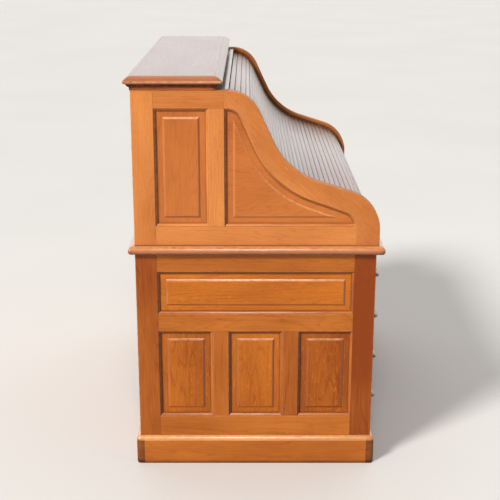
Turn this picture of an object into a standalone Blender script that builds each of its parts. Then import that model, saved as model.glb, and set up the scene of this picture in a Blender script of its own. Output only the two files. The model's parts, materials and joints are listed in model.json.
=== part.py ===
"""Roll top desk: an S-curve tambour desk on two drawer pedestals, in metres, +Z up.

The origin is the middle of the footprint on the floor. The desk's front faces -Y and its
width runs along X. Every physical piece is its own closed solid, one object each.
"""

import math

import bpy
import bmesh
from mathutils import Matrix, Vector

# Driving dimensions ---------------------------------------------------------------
GAP = 0.0003                # between pieces that touch

CASE_HALF = 0.660           # half the width over the side frames
CASE_BACK = 0.394
LOWER_FRONT = -0.388
UPPER_FRONT = -0.396

PLINTH_TOP = 0.100
PLINTH_PROUD = 0.013
PLINTH_THICK = 0.020
LOWER_TOP = 0.746
WRITING_THICK = 0.028
WRITING_Z = LOWER_TOP + WRITING_THICK
OVERHANG = 0.022            # writing top and top board past the side frames
WRITING_HALF_DEPTH = 0.415
CASE_TOP = 1.274
CORNICE_HEIGHT = 0.020
TOP_THICK = 0.024
TOP_FRONT = 0.107
TOP_FLAT_INSET = 0.023      # from the top board's tip to its flat

# Lower side frames and their fielded panels
SIDE_THICK = 0.024
STILE = 0.070
LOWER_TOP_RAIL = 0.062
WIDE_PANEL_HEIGHT = 0.145
MIDDLE_RAIL = 0.062
BOTTOM_RAIL = 0.072
LOWER_MUNTIN = 0.0525

# Upper side frames
UPPER_SIDE_THICK = 0.028
UPPER_TOP_RAIL = 0.057
UPPER_BOTTOM_RAIL = 0.064
BACK_PANEL_WIDTH = 0.171
UPPER_MUNTIN = 0.050
CURVED_RAIL = 0.057         # width of the curved rail at the top of the S
CURVED_RAIL_SPREAD = 0.018  # what it gains by the front
CURVE_STEPS = 56            # along the curved opening

# Panels in their rebates
LIP = 0.010                 # frame left in front of the rebate
TONGUE = 0.0075             # panel edge held in the rebate
TONGUE_THICK = 0.008
REBATE = 0.008
PANEL_SUNK = 0.008          # panel face behind the frame's face
FIELD_MARGIN = 0.029
FIELD_BEVEL = 0.003
FIELD_RAISE = 0.0025

# The S curve of the sides, from the top forwards and down: bulge, hollow, nose
STEEP = math.radians(65.1)
SHALLOW = math.radians(17.6)
TOP_RADIUS = 0.114
STEEP_RUN = 0.106
HOLLOW_RADIUS = 0.240
SHALLOW_RUN = 0.1127
NOSE_RADIUS = 0.130
ARC_STEP = math.radians(8)
S_LEAD = 0.300              # straight along the top before the S
S_TAIL = 0.080              # straight below the nose

# Tambour: slats glued to canvas, in sections that bend at the canvas
CANVAS_INSET = 0.032        # canvas line behind the side's S edge
SLAT_THICK = 0.012
SLAT_BEVEL = 0.0021
SLAT_PITCH = 0.0183
SLATS_PER_SECTION = 4
SECTIONS = 9
MIDDLE_SECTION = 5
ROLL_AXIS = (0.1069, 0.9430)    # Y and Z of the line that the middle section turns about
SECTION_LENGTH = SLAT_PITCH * SLATS_PER_SECTION
SIDE_PLAY = 0.001
RAIL_HEIGHT = 0.052
RAIL_THICK = 0.020

# Pedestals and drawers
PEDESTAL_WIDTH = 0.420
BACK_THICK = 0.018
BACK_INSET = 0.002
DRAWER_PITCH = 0.150
DRAWERS = 4
SHELF_THICK = 0.018
LINER = 0.010               # side walls of the drawer carcass
DRAWER_PLAY = 0.0015
DRAWER_FRONT_THICK = 0.020
DRAWER_SIDE = 0.012
DRAWER_BOTTOM = 0.008
DRAWER_BACK_Y = 0.340
DRAWER_LOW = 0.020          # drawer box sides below the front's top edge
DRAWER_PROUD = 0.002
PULL_HALF_WIDTH = 0.050
PULL_HALF_HEIGHT = 0.013
PULL_REACH = 0.034

CENTRE_DRAWER_HEIGHT = 0.084
CENTRE_DRAWER_BACK_Y = 0.060
CENTRE_FRAME_BACK_Y = 0.090
CENTRE_FRAME_BOTTOM = 0.012

# Fixed rail under the front of the top board
FRONT_RAIL_Y = (0.0905, 0.1275)
FRONT_RAIL_Z = (1.2630, 1.2690)

# Pigeonhole unit
NEST_HALF = 0.620
NEST_FRONT = 0.000
NEST_BACK = 0.210
NEST_TOP = 1.075
NEST_BOARD = 0.008
NEST_BAYS = 6
NEST_DRAWER_HEIGHT = 0.075
NEST_SHELF_Z = 0.925

# Lock plate on the lift rail
LOCK_HALF = (0.016, 0.012)
LOCK_THICK = 0.0015

OAK = (0.55, 0.25, 0.07)
DARK_OAK = (0.40, 0.15, 0.045)
SLAT_OAK = (0.42, 0.22, 0.12)
PLAIN_OAK = (0.60, 0.38, 0.18)
PULL_OAK = (0.20, 0.075, 0.025)
BRASS = (0.72, 0.52, 0.22)


# Scene helpers --------------------------------------------------------------------
def clear_scene():
    for obj in list(bpy.data.objects):
        bpy.data.objects.remove(obj, do_unlink=True)


def new_collection(name):
    collection = bpy.data.collections.new(name)
    bpy.context.scene.collection.children.link(collection)
    return collection


def finish(name, colour, roughness, metallic=0.0):
    """A Principled material for one piece."""
    material = bpy.data.materials.new(name)
    material.use_nodes = True
    shader = material.node_tree.nodes["Principled BSDF"]
    shader.inputs["Base Color"].default_value = (*colour, 1.0)
    shader.inputs["Roughness"].default_value = roughness
    shader.inputs["Metallic"].default_value = metallic
    material.diffuse_color = (*colour, 1.0)
    return material


class Desk:
    """Holds the collections that the pieces and the cutters go in."""

    def __init__(self):
        self.parts = new_collection("roll_top_desk")
        self.cutters = new_collection("cutters")

    def place(self, name, mesh, colour, roughness=0.45, metallic=0.0, matrix=None):
        """Puts a mesh in the scene as one named piece with its own material."""
        obj = bpy.data.objects.new(name, mesh)
        obj.matrix_world = matrix or Matrix.Identity(4)
        mesh.materials.append(finish(name + "_finish", colour, roughness, metallic))
        self.parts.objects.link(obj)
        return obj

    def cutter(self, mesh, name):
        obj = bpy.data.objects.new(name, mesh)
        obj.hide_render = True
        obj.display_type = "WIRE"
        self.cutters.objects.link(obj)
        return obj

    def cut(self, piece, *meshes):
        """Takes each cutter mesh out of the piece."""
        for mesh in meshes:
            modifier = piece.modifiers.new("cut", "BOOLEAN")
            modifier.operation = "DIFFERENCE"
            modifier.solver = "EXACT"
            modifier.object = self.cutter(mesh, piece.name + "_cutter")


def sorted_pair(a, b):
    return (a, b) if a < b else (b, a)


def box_mesh(x, y, z, origin=(0.0, 0.0, 0.0)):
    """A box between the two ends of each range, about an origin."""
    low, high = zip(*(sorted_pair(*ends) for ends in (x, y, z)))
    low, high = Vector(low), Vector(high)
    bm = bmesh.new()
    bmesh.ops.create_cube(bm, size=1.0)
    bmesh.ops.scale(bm, vec=high - low, verts=bm.verts)
    bmesh.ops.translate(bm, vec=(low + high) / 2 - Vector(origin), verts=bm.verts)
    mesh = bpy.data.meshes.new("box")
    bm.to_mesh(mesh)
    bm.free()
    return mesh


def box(desk, name, x, y, z, colour, **look):
    """A board with its origin at its middle."""
    middle = Vector([(a + b) / 2 for a, b in (x, y, z)])
    mesh = box_mesh(x, y, z, middle)
    return desk.place(name, mesh, colour, matrix=Matrix.Translation(middle), **look)


def loft_mesh(rings):
    """A closed solid through rings of equal point counts, capped at both ends."""
    bm = bmesh.new()
    rows = [[bm.verts.new(point) for point in ring] for ring in rings]
    for near, far in zip(rows, rows[1:]):
        for i in range(len(near)):
            j = (i + 1) % len(near)
            bm.faces.new((near[i], near[j], far[j], far[i]))
    bm.faces.new(list(reversed(rows[0])))
    bm.faces.new(rows[-1])
    bmesh.ops.recalc_face_normals(bm, faces=bm.faces)
    mesh = bpy.data.meshes.new("loft")
    bm.to_mesh(mesh)
    bm.free()
    return mesh


def plate_mesh(outline, x):
    """A flat outline of (y, z) points, extruded between two X values."""
    curve = bpy.data.curves.new("outline", "CURVE")
    curve.dimensions = "2D"
    curve.fill_mode = "BOTH"
    curve.extrude = abs(x[1] - x[0]) / 2
    spline = curve.splines.new("POLY")
    spline.points.add(len(outline) - 1)
    for point, (y, z) in zip(spline.points, outline):
        point.co = (y, z, 0.0, 1.0)
    spline.use_cyclic_u = True
    guide = bpy.data.objects.new("outline", curve)
    bpy.context.scene.collection.objects.link(guide)
    guide.matrix_world = (
        Matrix.Translation(((x[0] + x[1]) / 2, 0.0, 0.0))
        @ Matrix(((0, 0, 1, 0), (1, 0, 0, 0), (0, 1, 0, 0), (0, 0, 0, 1)))
    )
    bpy.context.view_layer.update()
    graph = bpy.context.evaluated_depsgraph_get()
    mesh = bpy.data.meshes.new_from_object(guide.evaluated_get(graph))
    mesh.transform(guide.matrix_world)
    bm = bmesh.new()
    bm.from_mesh(mesh)
    bmesh.ops.remove_doubles(bm, verts=bm.verts, dist=0.00005)
    bmesh.ops.recalc_face_normals(bm, faces=bm.faces)
    bm.to_mesh(mesh)
    bm.free()
    mesh.materials.clear()
    bpy.data.objects.remove(guide)
    bpy.data.curves.remove(curve)
    return mesh


# Outlines in the side's plane -----------------------------------------------------
def rectangle(y, z):
    """A (y, z) outline, as a function of how far it is moved inwards."""
    (y0, y1), (z0, z1) = sorted_pair(*y), sorted_pair(*z)

    def outline(inset=0.0):
        a, b, c, d = y0 + inset, y1 - inset, z0 + inset, z1 - inset
        return [(a, c), (b, c), (b, d), (a, d)]

    return outline


def s_drop():
    """How far forwards and down the S goes, from the top's straight to the nose's foot."""
    forwards = (
        TOP_RADIUS * math.sin(STEEP)
        + STEEP_RUN * math.cos(STEEP)
        + HOLLOW_RADIUS * (math.sin(STEEP) - math.sin(SHALLOW))
        + SHALLOW_RUN * math.cos(SHALLOW)
        + NOSE_RADIUS * (1 - math.sin(SHALLOW))
    )
    down = (
        TOP_RADIUS * (1 - math.cos(STEEP))
        + STEEP_RUN * math.sin(STEEP)
        + HOLLOW_RADIUS * (math.cos(SHALLOW) - math.cos(STEEP))
        + SHALLOW_RUN * math.sin(SHALLOW)
        + NOSE_RADIUS * math.cos(SHALLOW)
    )
    return forwards, down


def s_start_y():
    return UPPER_FRONT + s_drop()[0]


def walk(start, heading, segments, distance):
    """The (y, z) point and heading after a distance along lines and arcs.

    A segment is (radius, turn) for an arc, or (None, length) for a line.
    """
    y, z = start
    for radius, amount in segments:
        length = amount if radius is None else radius * abs(amount)
        part = min(distance, length)
        if radius is None:
            y += part * math.cos(heading)
            z += part * math.sin(heading)
        else:
            turned = math.copysign(part / radius, amount)
            side = math.copysign(radius, amount)
            y += side * (math.sin(heading + turned) - math.sin(heading))
            z -= side * (math.cos(heading + turned) - math.cos(heading))
            heading += turned
        distance -= part
        if distance <= 0:
            break
    return (y, z), heading


def canvas_path():
    """The canvas line, from the writing top up the S to the underside of the top."""
    start = (UPPER_FRONT + CANVAS_INSET, WRITING_Z + GAP)
    rise = CASE_TOP - s_drop()[1] - start[1]
    segments = [
        (None, rise),
        (NOSE_RADIUS - CANVAS_INSET, -(math.pi / 2 - SHALLOW)),
        (None, SHALLOW_RUN),
        (HOLLOW_RADIUS + CANVAS_INSET, STEEP - SHALLOW),
        (None, STEEP_RUN),
        (TOP_RADIUS - CANVAS_INSET, -STEEP),
    ]
    return start, math.pi / 2, segments


def canvas_point(distance):
    start, heading, segments = canvas_path()
    return walk(start, heading, segments, distance)[0]


def section_ends(number):
    """Where a section starts and ends on the canvas line; number 0 is the lift rail."""
    if number == 0:
        first, last = 0.0, RAIL_HEIGHT
    else:
        first = RAIL_HEIGHT + (number - 1) * SECTION_LENGTH
        last = first + SECTION_LENGTH
    return canvas_point(first), canvas_point(last)


def s_arcs():
    return [
        (TOP_RADIUS, STEEP),
        (None, STEEP_RUN),
        (HOLLOW_RADIUS, -(STEEP - SHALLOW)),
        (None, SHALLOW_RUN),
        (NOSE_RADIUS, math.pi / 2 - SHALLOW),
    ]


def segment_length(segment):
    radius, amount = segment
    return amount if radius is None else radius * abs(amount)


def s_edge():
    """Points down the S edge of the side."""
    stops = [0.0]
    for segment in s_arcs():
        radius, amount = segment
        count = 1 if radius is None else math.ceil(abs(amount) / ARC_STEP)
        stops += [stops[-1] + segment_length(segment) * (i + 1) / count for i in range(count)]
    start = (s_start_y(), CASE_TOP)
    return [walk(start, math.pi, s_arcs(), stop)[0] for stop in stops]


def curved_rail_point(distance, depth):
    """A point behind the S edge, a distance down it; the depth grows towards the foot."""
    start = (s_start_y() + S_LEAD, CASE_TOP)
    segments = [(None, S_LEAD), *s_arcs(), (None, S_TAIL)]
    (y, z), heading = walk(start, math.pi, segments, distance + S_LEAD)
    share = min(max(distance / sum(map(segment_length, s_arcs())), 0.0), 1.0)
    depth += CURVED_RAIL_SPREAD * share ** 2
    return y - depth * math.sin(heading), z + depth * math.cos(heading)


def last_true(test, low, high):
    """The largest value that passes a test which low passes and high fails, by halving."""
    for _ in range(40):
        middle = (low + high) / 2
        low, high = (middle, high) if test(middle) else (low, middle)
    return low


def curved_opening(corner, foot):
    """The opening behind the curved rail: an upright, the curve and a level foot."""
    longest = sum(map(segment_length, s_arcs())) + S_TAIL

    def outline(inset=0.0):
        depth = CURVED_RAIL + inset
        y, z = corner - inset, foot + inset
        start = last_true(lambda t: curved_rail_point(t, depth)[0] > y, -S_LEAD, longest / 2)
        end = last_true(lambda t: curved_rail_point(t, depth)[1] > z, 0.0, longest)
        steps = [start + (end - start) * i / CURVE_STEPS for i in range(CURVE_STEPS + 1)]
        return [(y, z)] + [curved_rail_point(t, depth) for t in steps]

    return outline


# The lower case -------------------------------------------------------------------
def lower_openings():
    """The openings of a lower side frame, as (y, z) outlines by name."""
    back, front = CASE_BACK - STILE, LOWER_FRONT + STILE
    top = LOWER_TOP - LOWER_TOP_RAIL
    middle = top - WIDE_PANEL_HEIGHT - MIDDLE_RAIL
    foot = PLINTH_TOP + BOTTOM_RAIL
    width = (back - front - 2 * LOWER_MUNTIN) / 3
    openings = {"top": rectangle((front, back), (top - WIDE_PANEL_HEIGHT, top))}
    for i, name in enumerate(("front", "middle", "back")):
        y = front + i * (width + LOWER_MUNTIN)
        openings[name] = rectangle((y, y + width), (foot, middle))
    return openings


def upper_openings():
    """The openings of an upper side frame: a plain one at the back and the S one."""
    back = CASE_BACK - STILE
    foot = WRITING_Z + UPPER_BOTTOM_RAIL
    head = CASE_TOP - UPPER_TOP_RAIL
    muntin = back - BACK_PANEL_WIDTH
    return {
        "back": rectangle((muntin, back), (foot, head)),
        "front": curved_opening(muntin - UPPER_MUNTIN, foot),
    }


def fielded_panel(desk, name, opening, face_x, side, colour):
    """A panel with its tongue in the frame's rebate and a raised field."""
    inwards = -side

    def ring(inset, depth):
        return [(face_x + inwards * depth, y, z) for y, z in opening(inset)]

    field = FIELD_MARGIN + FIELD_BEVEL
    back = LIP + GAP + TONGUE_THICK
    mesh = loft_mesh([
        ring(-TONGUE, back),
        ring(-TONGUE, LIP + GAP),
        ring(GAP, LIP + GAP),
        ring(GAP, PANEL_SUNK),
        ring(FIELD_MARGIN, PANEL_SUNK),
        ring(field, PANEL_SUNK - FIELD_RAISE),
    ])
    return desk.place(name, mesh, colour)


def framed_side(desk, name, outline, openings, thick, side, colour):
    """A side frame: a plate with its openings, each rebated from the inside."""
    face_x = side * CASE_HALF
    piece = desk.place(name, plate_mesh(outline, sorted_pair(face_x, face_x - side * thick)), colour)
    through = sorted_pair(face_x + side * 0.01, face_x - side * (thick + 0.01))
    rebate = sorted_pair(face_x - side * LIP, face_x - side * (thick + 0.01))
    for opening in openings.values():
        desk.cut(piece, plate_mesh(opening(), through), plate_mesh(opening(-REBATE), rebate))
    return piece


def lower_side(desk, label, side):
    openings = lower_openings()
    outline = rectangle((LOWER_FRONT, CASE_BACK), (PLINTH_TOP + GAP, LOWER_TOP - GAP))
    name = "lower_side_frame_" + label
    framed_side(desk, name, outline(), openings, SIDE_THICK, side, DARK_OAK)
    for place, opening in openings.items():
        name = f"lower_panel_{label}_{place}"
        fielded_panel(desk, name, opening, side * CASE_HALF, side, OAK)


def plinth(desk, label, side):
    """The moulded base ring under a pedestal."""
    inner = CASE_HALF - PEDESTAL_WIDTH
    x = sorted_pair(side * (inner - PLINTH_PROUD), side * (CASE_HALF + PLINTH_PROUD))
    y = (LOWER_FRONT - PLINTH_PROUD, CASE_BACK + PLINTH_PROUD)
    piece = desk.place("plinth_" + label, box_mesh(x, y, (0.0, PLINTH_TOP)), DARK_OAK)
    rounding = piece.modifiers.new("rounded_edges", "BEVEL")
    rounding.width = 0.006
    rounding.segments = 2
    rounding.limit_method = "ANGLE"
    hollow_x = (x[0] + PLINTH_THICK, x[1] - PLINTH_THICK)
    hollow_y = (y[0] + PLINTH_THICK, y[1] - PLINTH_THICK)
    desk.cut(piece, box_mesh(hollow_x, hollow_y, (-0.01, PLINTH_TOP + 0.01)))


def pedestal_x(side):
    """The room between a pedestal's outer and inner sides."""
    outer = side * (CASE_HALF - SIDE_THICK - GAP)
    inner = side * (CASE_HALF - PEDESTAL_WIDTH + SIDE_THICK + GAP)
    return sorted_pair(outer, inner)


def inner_side(desk, label, side):
    inner = CASE_HALF - PEDESTAL_WIDTH
    x = sorted_pair(side * inner, side * (inner + SIDE_THICK))
    y = (LOWER_FRONT, CASE_BACK - BACK_INSET - BACK_THICK - GAP)
    box(desk, "inner_side_" + label, x, y, (PLINTH_TOP + GAP, LOWER_TOP - GAP), DARK_OAK)


def bay_z(number):
    """The height of a drawer's bay; number 1 is the top drawer."""
    low = PLINTH_TOP + (DRAWERS - number) * DRAWER_PITCH
    return low + SHELF_THICK / 2, low + DRAWER_PITCH - SHELF_THICK / 2


def drawer_carcass(desk, label, side):
    """Shelves between thin side liners: one bay for each drawer, open front and back."""
    x = pedestal_x(side)
    y = (LOWER_FRONT + 0.002, CASE_BACK - BACK_INSET - BACK_THICK - GAP)
    name = "drawer_carcass_" + label
    piece = box(desk, name, x, y, (PLINTH_TOP + GAP, LOWER_TOP - GAP), PLAIN_OAK)
    bay_x = (x[0] + LINER, x[1] - LINER)
    bay_y = (y[0] - 0.01, y[1] + 0.01)
    for number in range(1, DRAWERS + 1):
        desk.cut(piece, box_mesh(bay_x, bay_y, bay_z(number)))
    attic = (bay_z(1)[1] + SHELF_THICK, LOWER_TOP + 0.01)
    desk.cut(piece, box_mesh(bay_x, (y[0] + 0.020, y[1] - 0.020), attic))


def tray(desk, name, x, y, z, walls, low_sides, colour):
    """A drawer: a front board with an open box behind it, dovetailed into one piece."""
    front, side, bottom = walls
    piece = box(desk, name, x, y, z, colour)
    hollow_y = (y[0] + front, y[1] - side)
    desk.cut(piece, box_mesh((x[0] + side, x[1] - side), hollow_y, (z[0] + bottom, z[1] + 0.01)))
    if low_sides:
        behind = (y[0] + front, y[1] + 0.01)
        above = (z[1] - low_sides, z[1] + 0.01)
        desk.cut(piece, box_mesh((x[0] - 0.01, x[1] + 0.01), behind, above))
    return piece


def drawer_box(side, number):
    """The x, y and z ranges of a pedestal drawer."""
    x0, x1 = pedestal_x(side)
    z0, z1 = bay_z(number)
    x = (x0 + LINER + DRAWER_PLAY, x1 - LINER - DRAWER_PLAY)
    y = (LOWER_FRONT - DRAWER_PROUD, DRAWER_BACK_Y)
    return x, y, (z0 + GAP, z1 - DRAWER_PLAY)


def pull(desk, label, number, side):
    """A carved grip: its top slopes forwards and its underside is hollowed for fingers."""
    x, y, _ = drawer_box(side, number)
    cx, cz = (x[0] + x[1]) / 2, PLINTH_TOP + (DRAWERS - number + 0.5) * DRAWER_PITCH
    rings = []
    steps = ((GAP, 1.0, 1.0, -1.0), (0.006, 0.94, 0.75, -0.55), (0.016, 0.96, 0.40, -0.60),
             (0.024, 0.96, 0.05, -0.85), (PULL_REACH, 0.86, -0.30, -0.80))
    for reach, wide, top, foot in steps:
        w = PULL_HALF_WIDTH * wide
        z0, z1 = cz + PULL_HALF_HEIGHT * foot, cz + PULL_HALF_HEIGHT * top
        face = y[0] - reach
        rings.append([(cx - w, face, z0), (cx + w, face, z0), (cx + w, face, z1), (cx - w, face, z1)])
    desk.place(f"pull_{label}_{number}", loft_mesh(rings), PULL_OAK)


def pedestal_drawers(desk, label, side):
    walls = (DRAWER_FRONT_THICK, DRAWER_SIDE, DRAWER_BOTTOM)
    for number in range(1, DRAWERS + 1):
        x, y, z = drawer_box(side, number)
        tray(desk, f"drawer_{label}_{number}", x, y, z, walls, DRAWER_LOW, DARK_OAK)
        pull(desk, label, number, side)


def kneehole(desk):
    """The centre drawer in its frame under the writing top."""
    half = CASE_HALF - PEDESTAL_WIDTH - GAP
    z1 = LOWER_TOP - GAP
    z0 = z1 - CENTRE_DRAWER_HEIGHT - CENTRE_FRAME_BOTTOM
    y = (LOWER_FRONT + 0.002, CENTRE_FRAME_BACK_Y)
    frame = box(desk, "centre_drawer_frame", (-half, half), y, (z0, z1), DARK_OAK)
    bay = half - LINER
    floor = z0 + CENTRE_FRAME_BOTTOM
    desk.cut(frame, box_mesh((-bay, bay), (y[0] - 0.01, y[1] - 0.018), (floor, z1 + 0.01)))
    wide = bay - DRAWER_PLAY
    x, depth = (-wide, wide), (LOWER_FRONT - DRAWER_PROUD, CENTRE_DRAWER_BACK_Y)
    walls = (DRAWER_FRONT_THICK, DRAWER_SIDE, DRAWER_BOTTOM)
    tray(desk, "centre_drawer", x, depth, (floor + GAP, z1 - DRAWER_PLAY), walls, DRAWER_LOW, DARK_OAK)


def lower_back(desk):
    """One framed back across both pedestals and the kneehole, clear of the floor."""
    half = CASE_HALF - SIDE_THICK - GAP
    y = (CASE_BACK - BACK_INSET - BACK_THICK, CASE_BACK - BACK_INSET)
    box(desk, "lower_back", (-half, half), y, (PLINTH_TOP + GAP, LOWER_TOP - GAP), DARK_OAK)


def writing_top(desk):
    half = CASE_HALF + OVERHANG
    y = (-WRITING_HALF_DEPTH, WRITING_HALF_DEPTH)
    piece = box(desk, "writing_top", (-half, half), y, (LOWER_TOP, WRITING_Z), OAK)
    nose = piece.modifiers.new("rounded_nose", "BEVEL")
    nose.width = 0.011
    nose.segments = 3
    nose.limit_method = "ANGLE"


# The upper case -------------------------------------------------------------------
def upper_side(desk, label, side):
    edge = s_edge()
    foot = WRITING_Z + GAP
    top = CASE_TOP - GAP
    outline = [(CASE_BACK, foot), (CASE_BACK, top), (s_start_y(), top)]
    outline += edge[1:] + [(UPPER_FRONT, foot)]
    openings = upper_openings()
    name = "upper_side_frame_" + label
    framed_side(desk, name, outline, openings, UPPER_SIDE_THICK, side, OAK)
    for place, opening in openings.items():
        name = f"upper_panel_{label}_{place}"
        fielded_panel(desk, name, opening, side * CASE_HALF, side, OAK)


def upper_back(desk):
    half = CASE_HALF - UPPER_SIDE_THICK - GAP
    y = (CASE_BACK - BACK_INSET - BACK_THICK, CASE_BACK - BACK_INSET)
    box(desk, "upper_back", (-half, half), y, (WRITING_Z + GAP, CASE_TOP - GAP), OAK)


def cornice(desk):
    """The cove moulding between the case and the top board, open in the middle."""
    reach = 0.012
    front = TOP_FRONT + TOP_FLAT_INSET
    low, high = CASE_TOP, CASE_TOP + CORNICE_HEIGHT - GAP

    def ring(out, z):
        x = CASE_HALF + out
        back = CASE_BACK + out
        return [(-x, front - out, z), (x, front - out, z), (x, back, z), (-x, back, z)]

    middle = low + CORNICE_HEIGHT / 2
    rings = [ring(0.001, low), ring(0.002, middle), ring(reach * 0.5, middle + 0.005), ring(reach, high)]
    piece = desk.place("cornice", loft_mesh(rings), OAK)
    hollow = 0.030
    x = CASE_HALF - hollow
    y = (front + hollow, CASE_BACK - hollow)
    desk.cut(piece, box_mesh((-x, x), y, (low - 0.01, high + 0.01)))


def top_board(desk):
    """The top, with its thumb moulding on all four edges."""
    low = CASE_TOP + CORNICE_HEIGHT
    high = low + TOP_THICK

    def ring(inset, z):
        x = CASE_HALF + OVERHANG - inset
        front, back = TOP_FRONT + inset, WRITING_HALF_DEPTH - inset
        return [(-x, front, z), (x, front, z), (x, back, z), (-x, back, z)]

    rings = [
        ring(0.003, low),
        ring(0.0, low + 0.003),
        ring(0.0, low + 0.008),
        ring(0.006, low + 0.015),
        ring(0.015, low + 0.021),
        ring(TOP_FLAT_INSET, high),
    ]
    desk.place("top_board", loft_mesh(rings), OAK)


def front_rail(desk):
    """The fixed strip in front of the top board, which the tambour runs under."""
    half = CASE_HALF - UPPER_SIDE_THICK - GAP
    box(desk, "front_rail", (-half, half), FRONT_RAIL_Y, FRONT_RAIL_Z, SLAT_OAK)


# The tambour ----------------------------------------------------------------------
def section_pivot(number):
    """Where a section turns on its neighbour; the middle one turns on the case."""
    first, last = section_ends(number)
    if number == MIDDLE_SECTION:
        return ROLL_AXIS
    return last if number < MIDDLE_SECTION else first


def slab_on_canvas(desk, name, number, thick, colour):
    """A straight section whose back lies on the canvas line, with its origin on its pivot."""
    first, last = (Vector((0.0, *end)) for end in section_ends(number))
    pivot = Vector((0.0, *section_pivot(number)))
    along = (last - first).normalized()
    length = (last - first).length
    out = Vector((0.0, -along.z, along.y))
    half = CASE_HALF - UPPER_SIDE_THICK - SIDE_PLAY
    profile = [(GAP, 0.0), (length - GAP, 0.0), (length - SLAT_BEVEL, thick), (SLAT_BEVEL, thick)]
    rings = [[(x, run, rise) for run, rise in profile] for x in (-half, half)]
    turn = Matrix((Vector((1.0, 0.0, 0.0)), along, out)).transposed()
    mesh = loft_mesh(rings)
    mesh.transform(Matrix.Translation(turn.inverted() @ (first - pivot)))
    matrix = Matrix.Translation(pivot) @ turn.to_4x4()
    return desk.place(name, mesh, colour, matrix=matrix)


def tambour(desk):
    """The lift rail and the slat sections."""
    slab_on_canvas(desk, "lift_rail", 0, RAIL_THICK, OAK)
    for number in range(1, SECTIONS + 1):
        slab_on_canvas(desk, f"tambour_section_{number}", number, SLAT_THICK, SLAT_OAK)
    face = UPPER_FRONT + CANVAS_INSET - RAIL_THICK
    y = (face - GAP - LOCK_THICK, face - GAP)
    middle = WRITING_Z + RAIL_HEIGHT / 2
    x = (-LOCK_HALF[0], LOCK_HALF[0])
    z = (middle - LOCK_HALF[1], middle + LOCK_HALF[1])
    box(desk, "lock_plate", x, y, z, BRASS, roughness=0.35, metallic=1.0)


# The pigeonhole unit --------------------------------------------------------------
def nest_bay_x(number):
    """The x range of a pigeonhole bay, from 0 at the left."""
    pitch = (2 * NEST_HALF - NEST_BOARD) / NEST_BAYS
    left = -NEST_HALF + NEST_BOARD + number * pitch
    return left, left + pitch - NEST_BOARD


def nest_cells():
    """The pigeonholes by name, as (x, z) ranges, and the bays of the two drawers."""
    floor, ceiling = WRITING_Z + GAP + NEST_BOARD, NEST_TOP - NEST_BOARD
    drawer_top = floor + NEST_DRAWER_HEIGHT
    cells = {}
    for number in range(NEST_BAYS):
        x = nest_bay_x(number)
        if number in (0, NEST_BAYS - 1):
            cells[f"drawer_bay_{number}"] = (x, (floor, drawer_top))
            cells[f"pigeonhole_{number}_high"] = (x, (drawer_top + NEST_BOARD, ceiling))
        elif number in (1, NEST_BAYS - 2):
            cells[f"pigeonhole_{number}_low"] = (x, (floor, NEST_SHELF_Z))
            cells[f"pigeonhole_{number}_high"] = (x, (NEST_SHELF_Z + NEST_BOARD, ceiling))
        else:
            cells[f"pigeonhole_{number}_tall"] = (x, (floor, ceiling))
    return cells


def pigeonholes(desk):
    """The fitted interior: a nest of cells, with a small drawer at each end."""
    x, z = (-NEST_HALF, NEST_HALF), (WRITING_Z + GAP, NEST_TOP)
    case = box(desk, "pigeonhole_case", x, (NEST_FRONT, NEST_BACK), z, PLAIN_OAK)
    hollow_y = (NEST_FRONT - 0.01, NEST_BACK - NEST_BOARD)
    for cell_x, cell_z in nest_cells().values():
        desk.cut(case, box_mesh(cell_x, hollow_y, cell_z))
    for label, number in (("left", 0), ("right", NEST_BAYS - 1)):
        (x0, x1), (z0, z1) = nest_cells()[f"drawer_bay_{number}"]
        tray(
            desk,
            "stationery_drawer_" + label,
            (x0 + DRAWER_PLAY, x1 - DRAWER_PLAY),
            (NEST_FRONT + 0.002, NEST_BACK - NEST_BOARD - 0.004),
            (z0 + GAP, z1 - DRAWER_PLAY),
            (0.012, 0.007, 0.005),
            0.0,
            OAK,
        )


def main():
    clear_scene()
    desk = Desk()
    for label, side in (("left", -1), ("right", 1)):
        plinth(desk, label, side)
        lower_side(desk, label, side)
        inner_side(desk, label, side)
        drawer_carcass(desk, label, side)
        pedestal_drawers(desk, label, side)
        upper_side(desk, label, side)
    kneehole(desk)
    lower_back(desk)
    writing_top(desk)
    upper_back(desk)
    cornice(desk)
    top_board(desk)
    front_rail(desk)
    tambour(desk)
    pigeonholes(desk)


if __name__ == "__main__":
    main()
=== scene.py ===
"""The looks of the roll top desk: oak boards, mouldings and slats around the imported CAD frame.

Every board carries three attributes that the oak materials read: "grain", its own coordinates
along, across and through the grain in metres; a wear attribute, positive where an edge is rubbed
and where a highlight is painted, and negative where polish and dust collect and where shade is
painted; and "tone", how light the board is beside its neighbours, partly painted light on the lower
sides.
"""

import json
import math
import random

import bpy
from mathutils import Matrix, Vector


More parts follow.
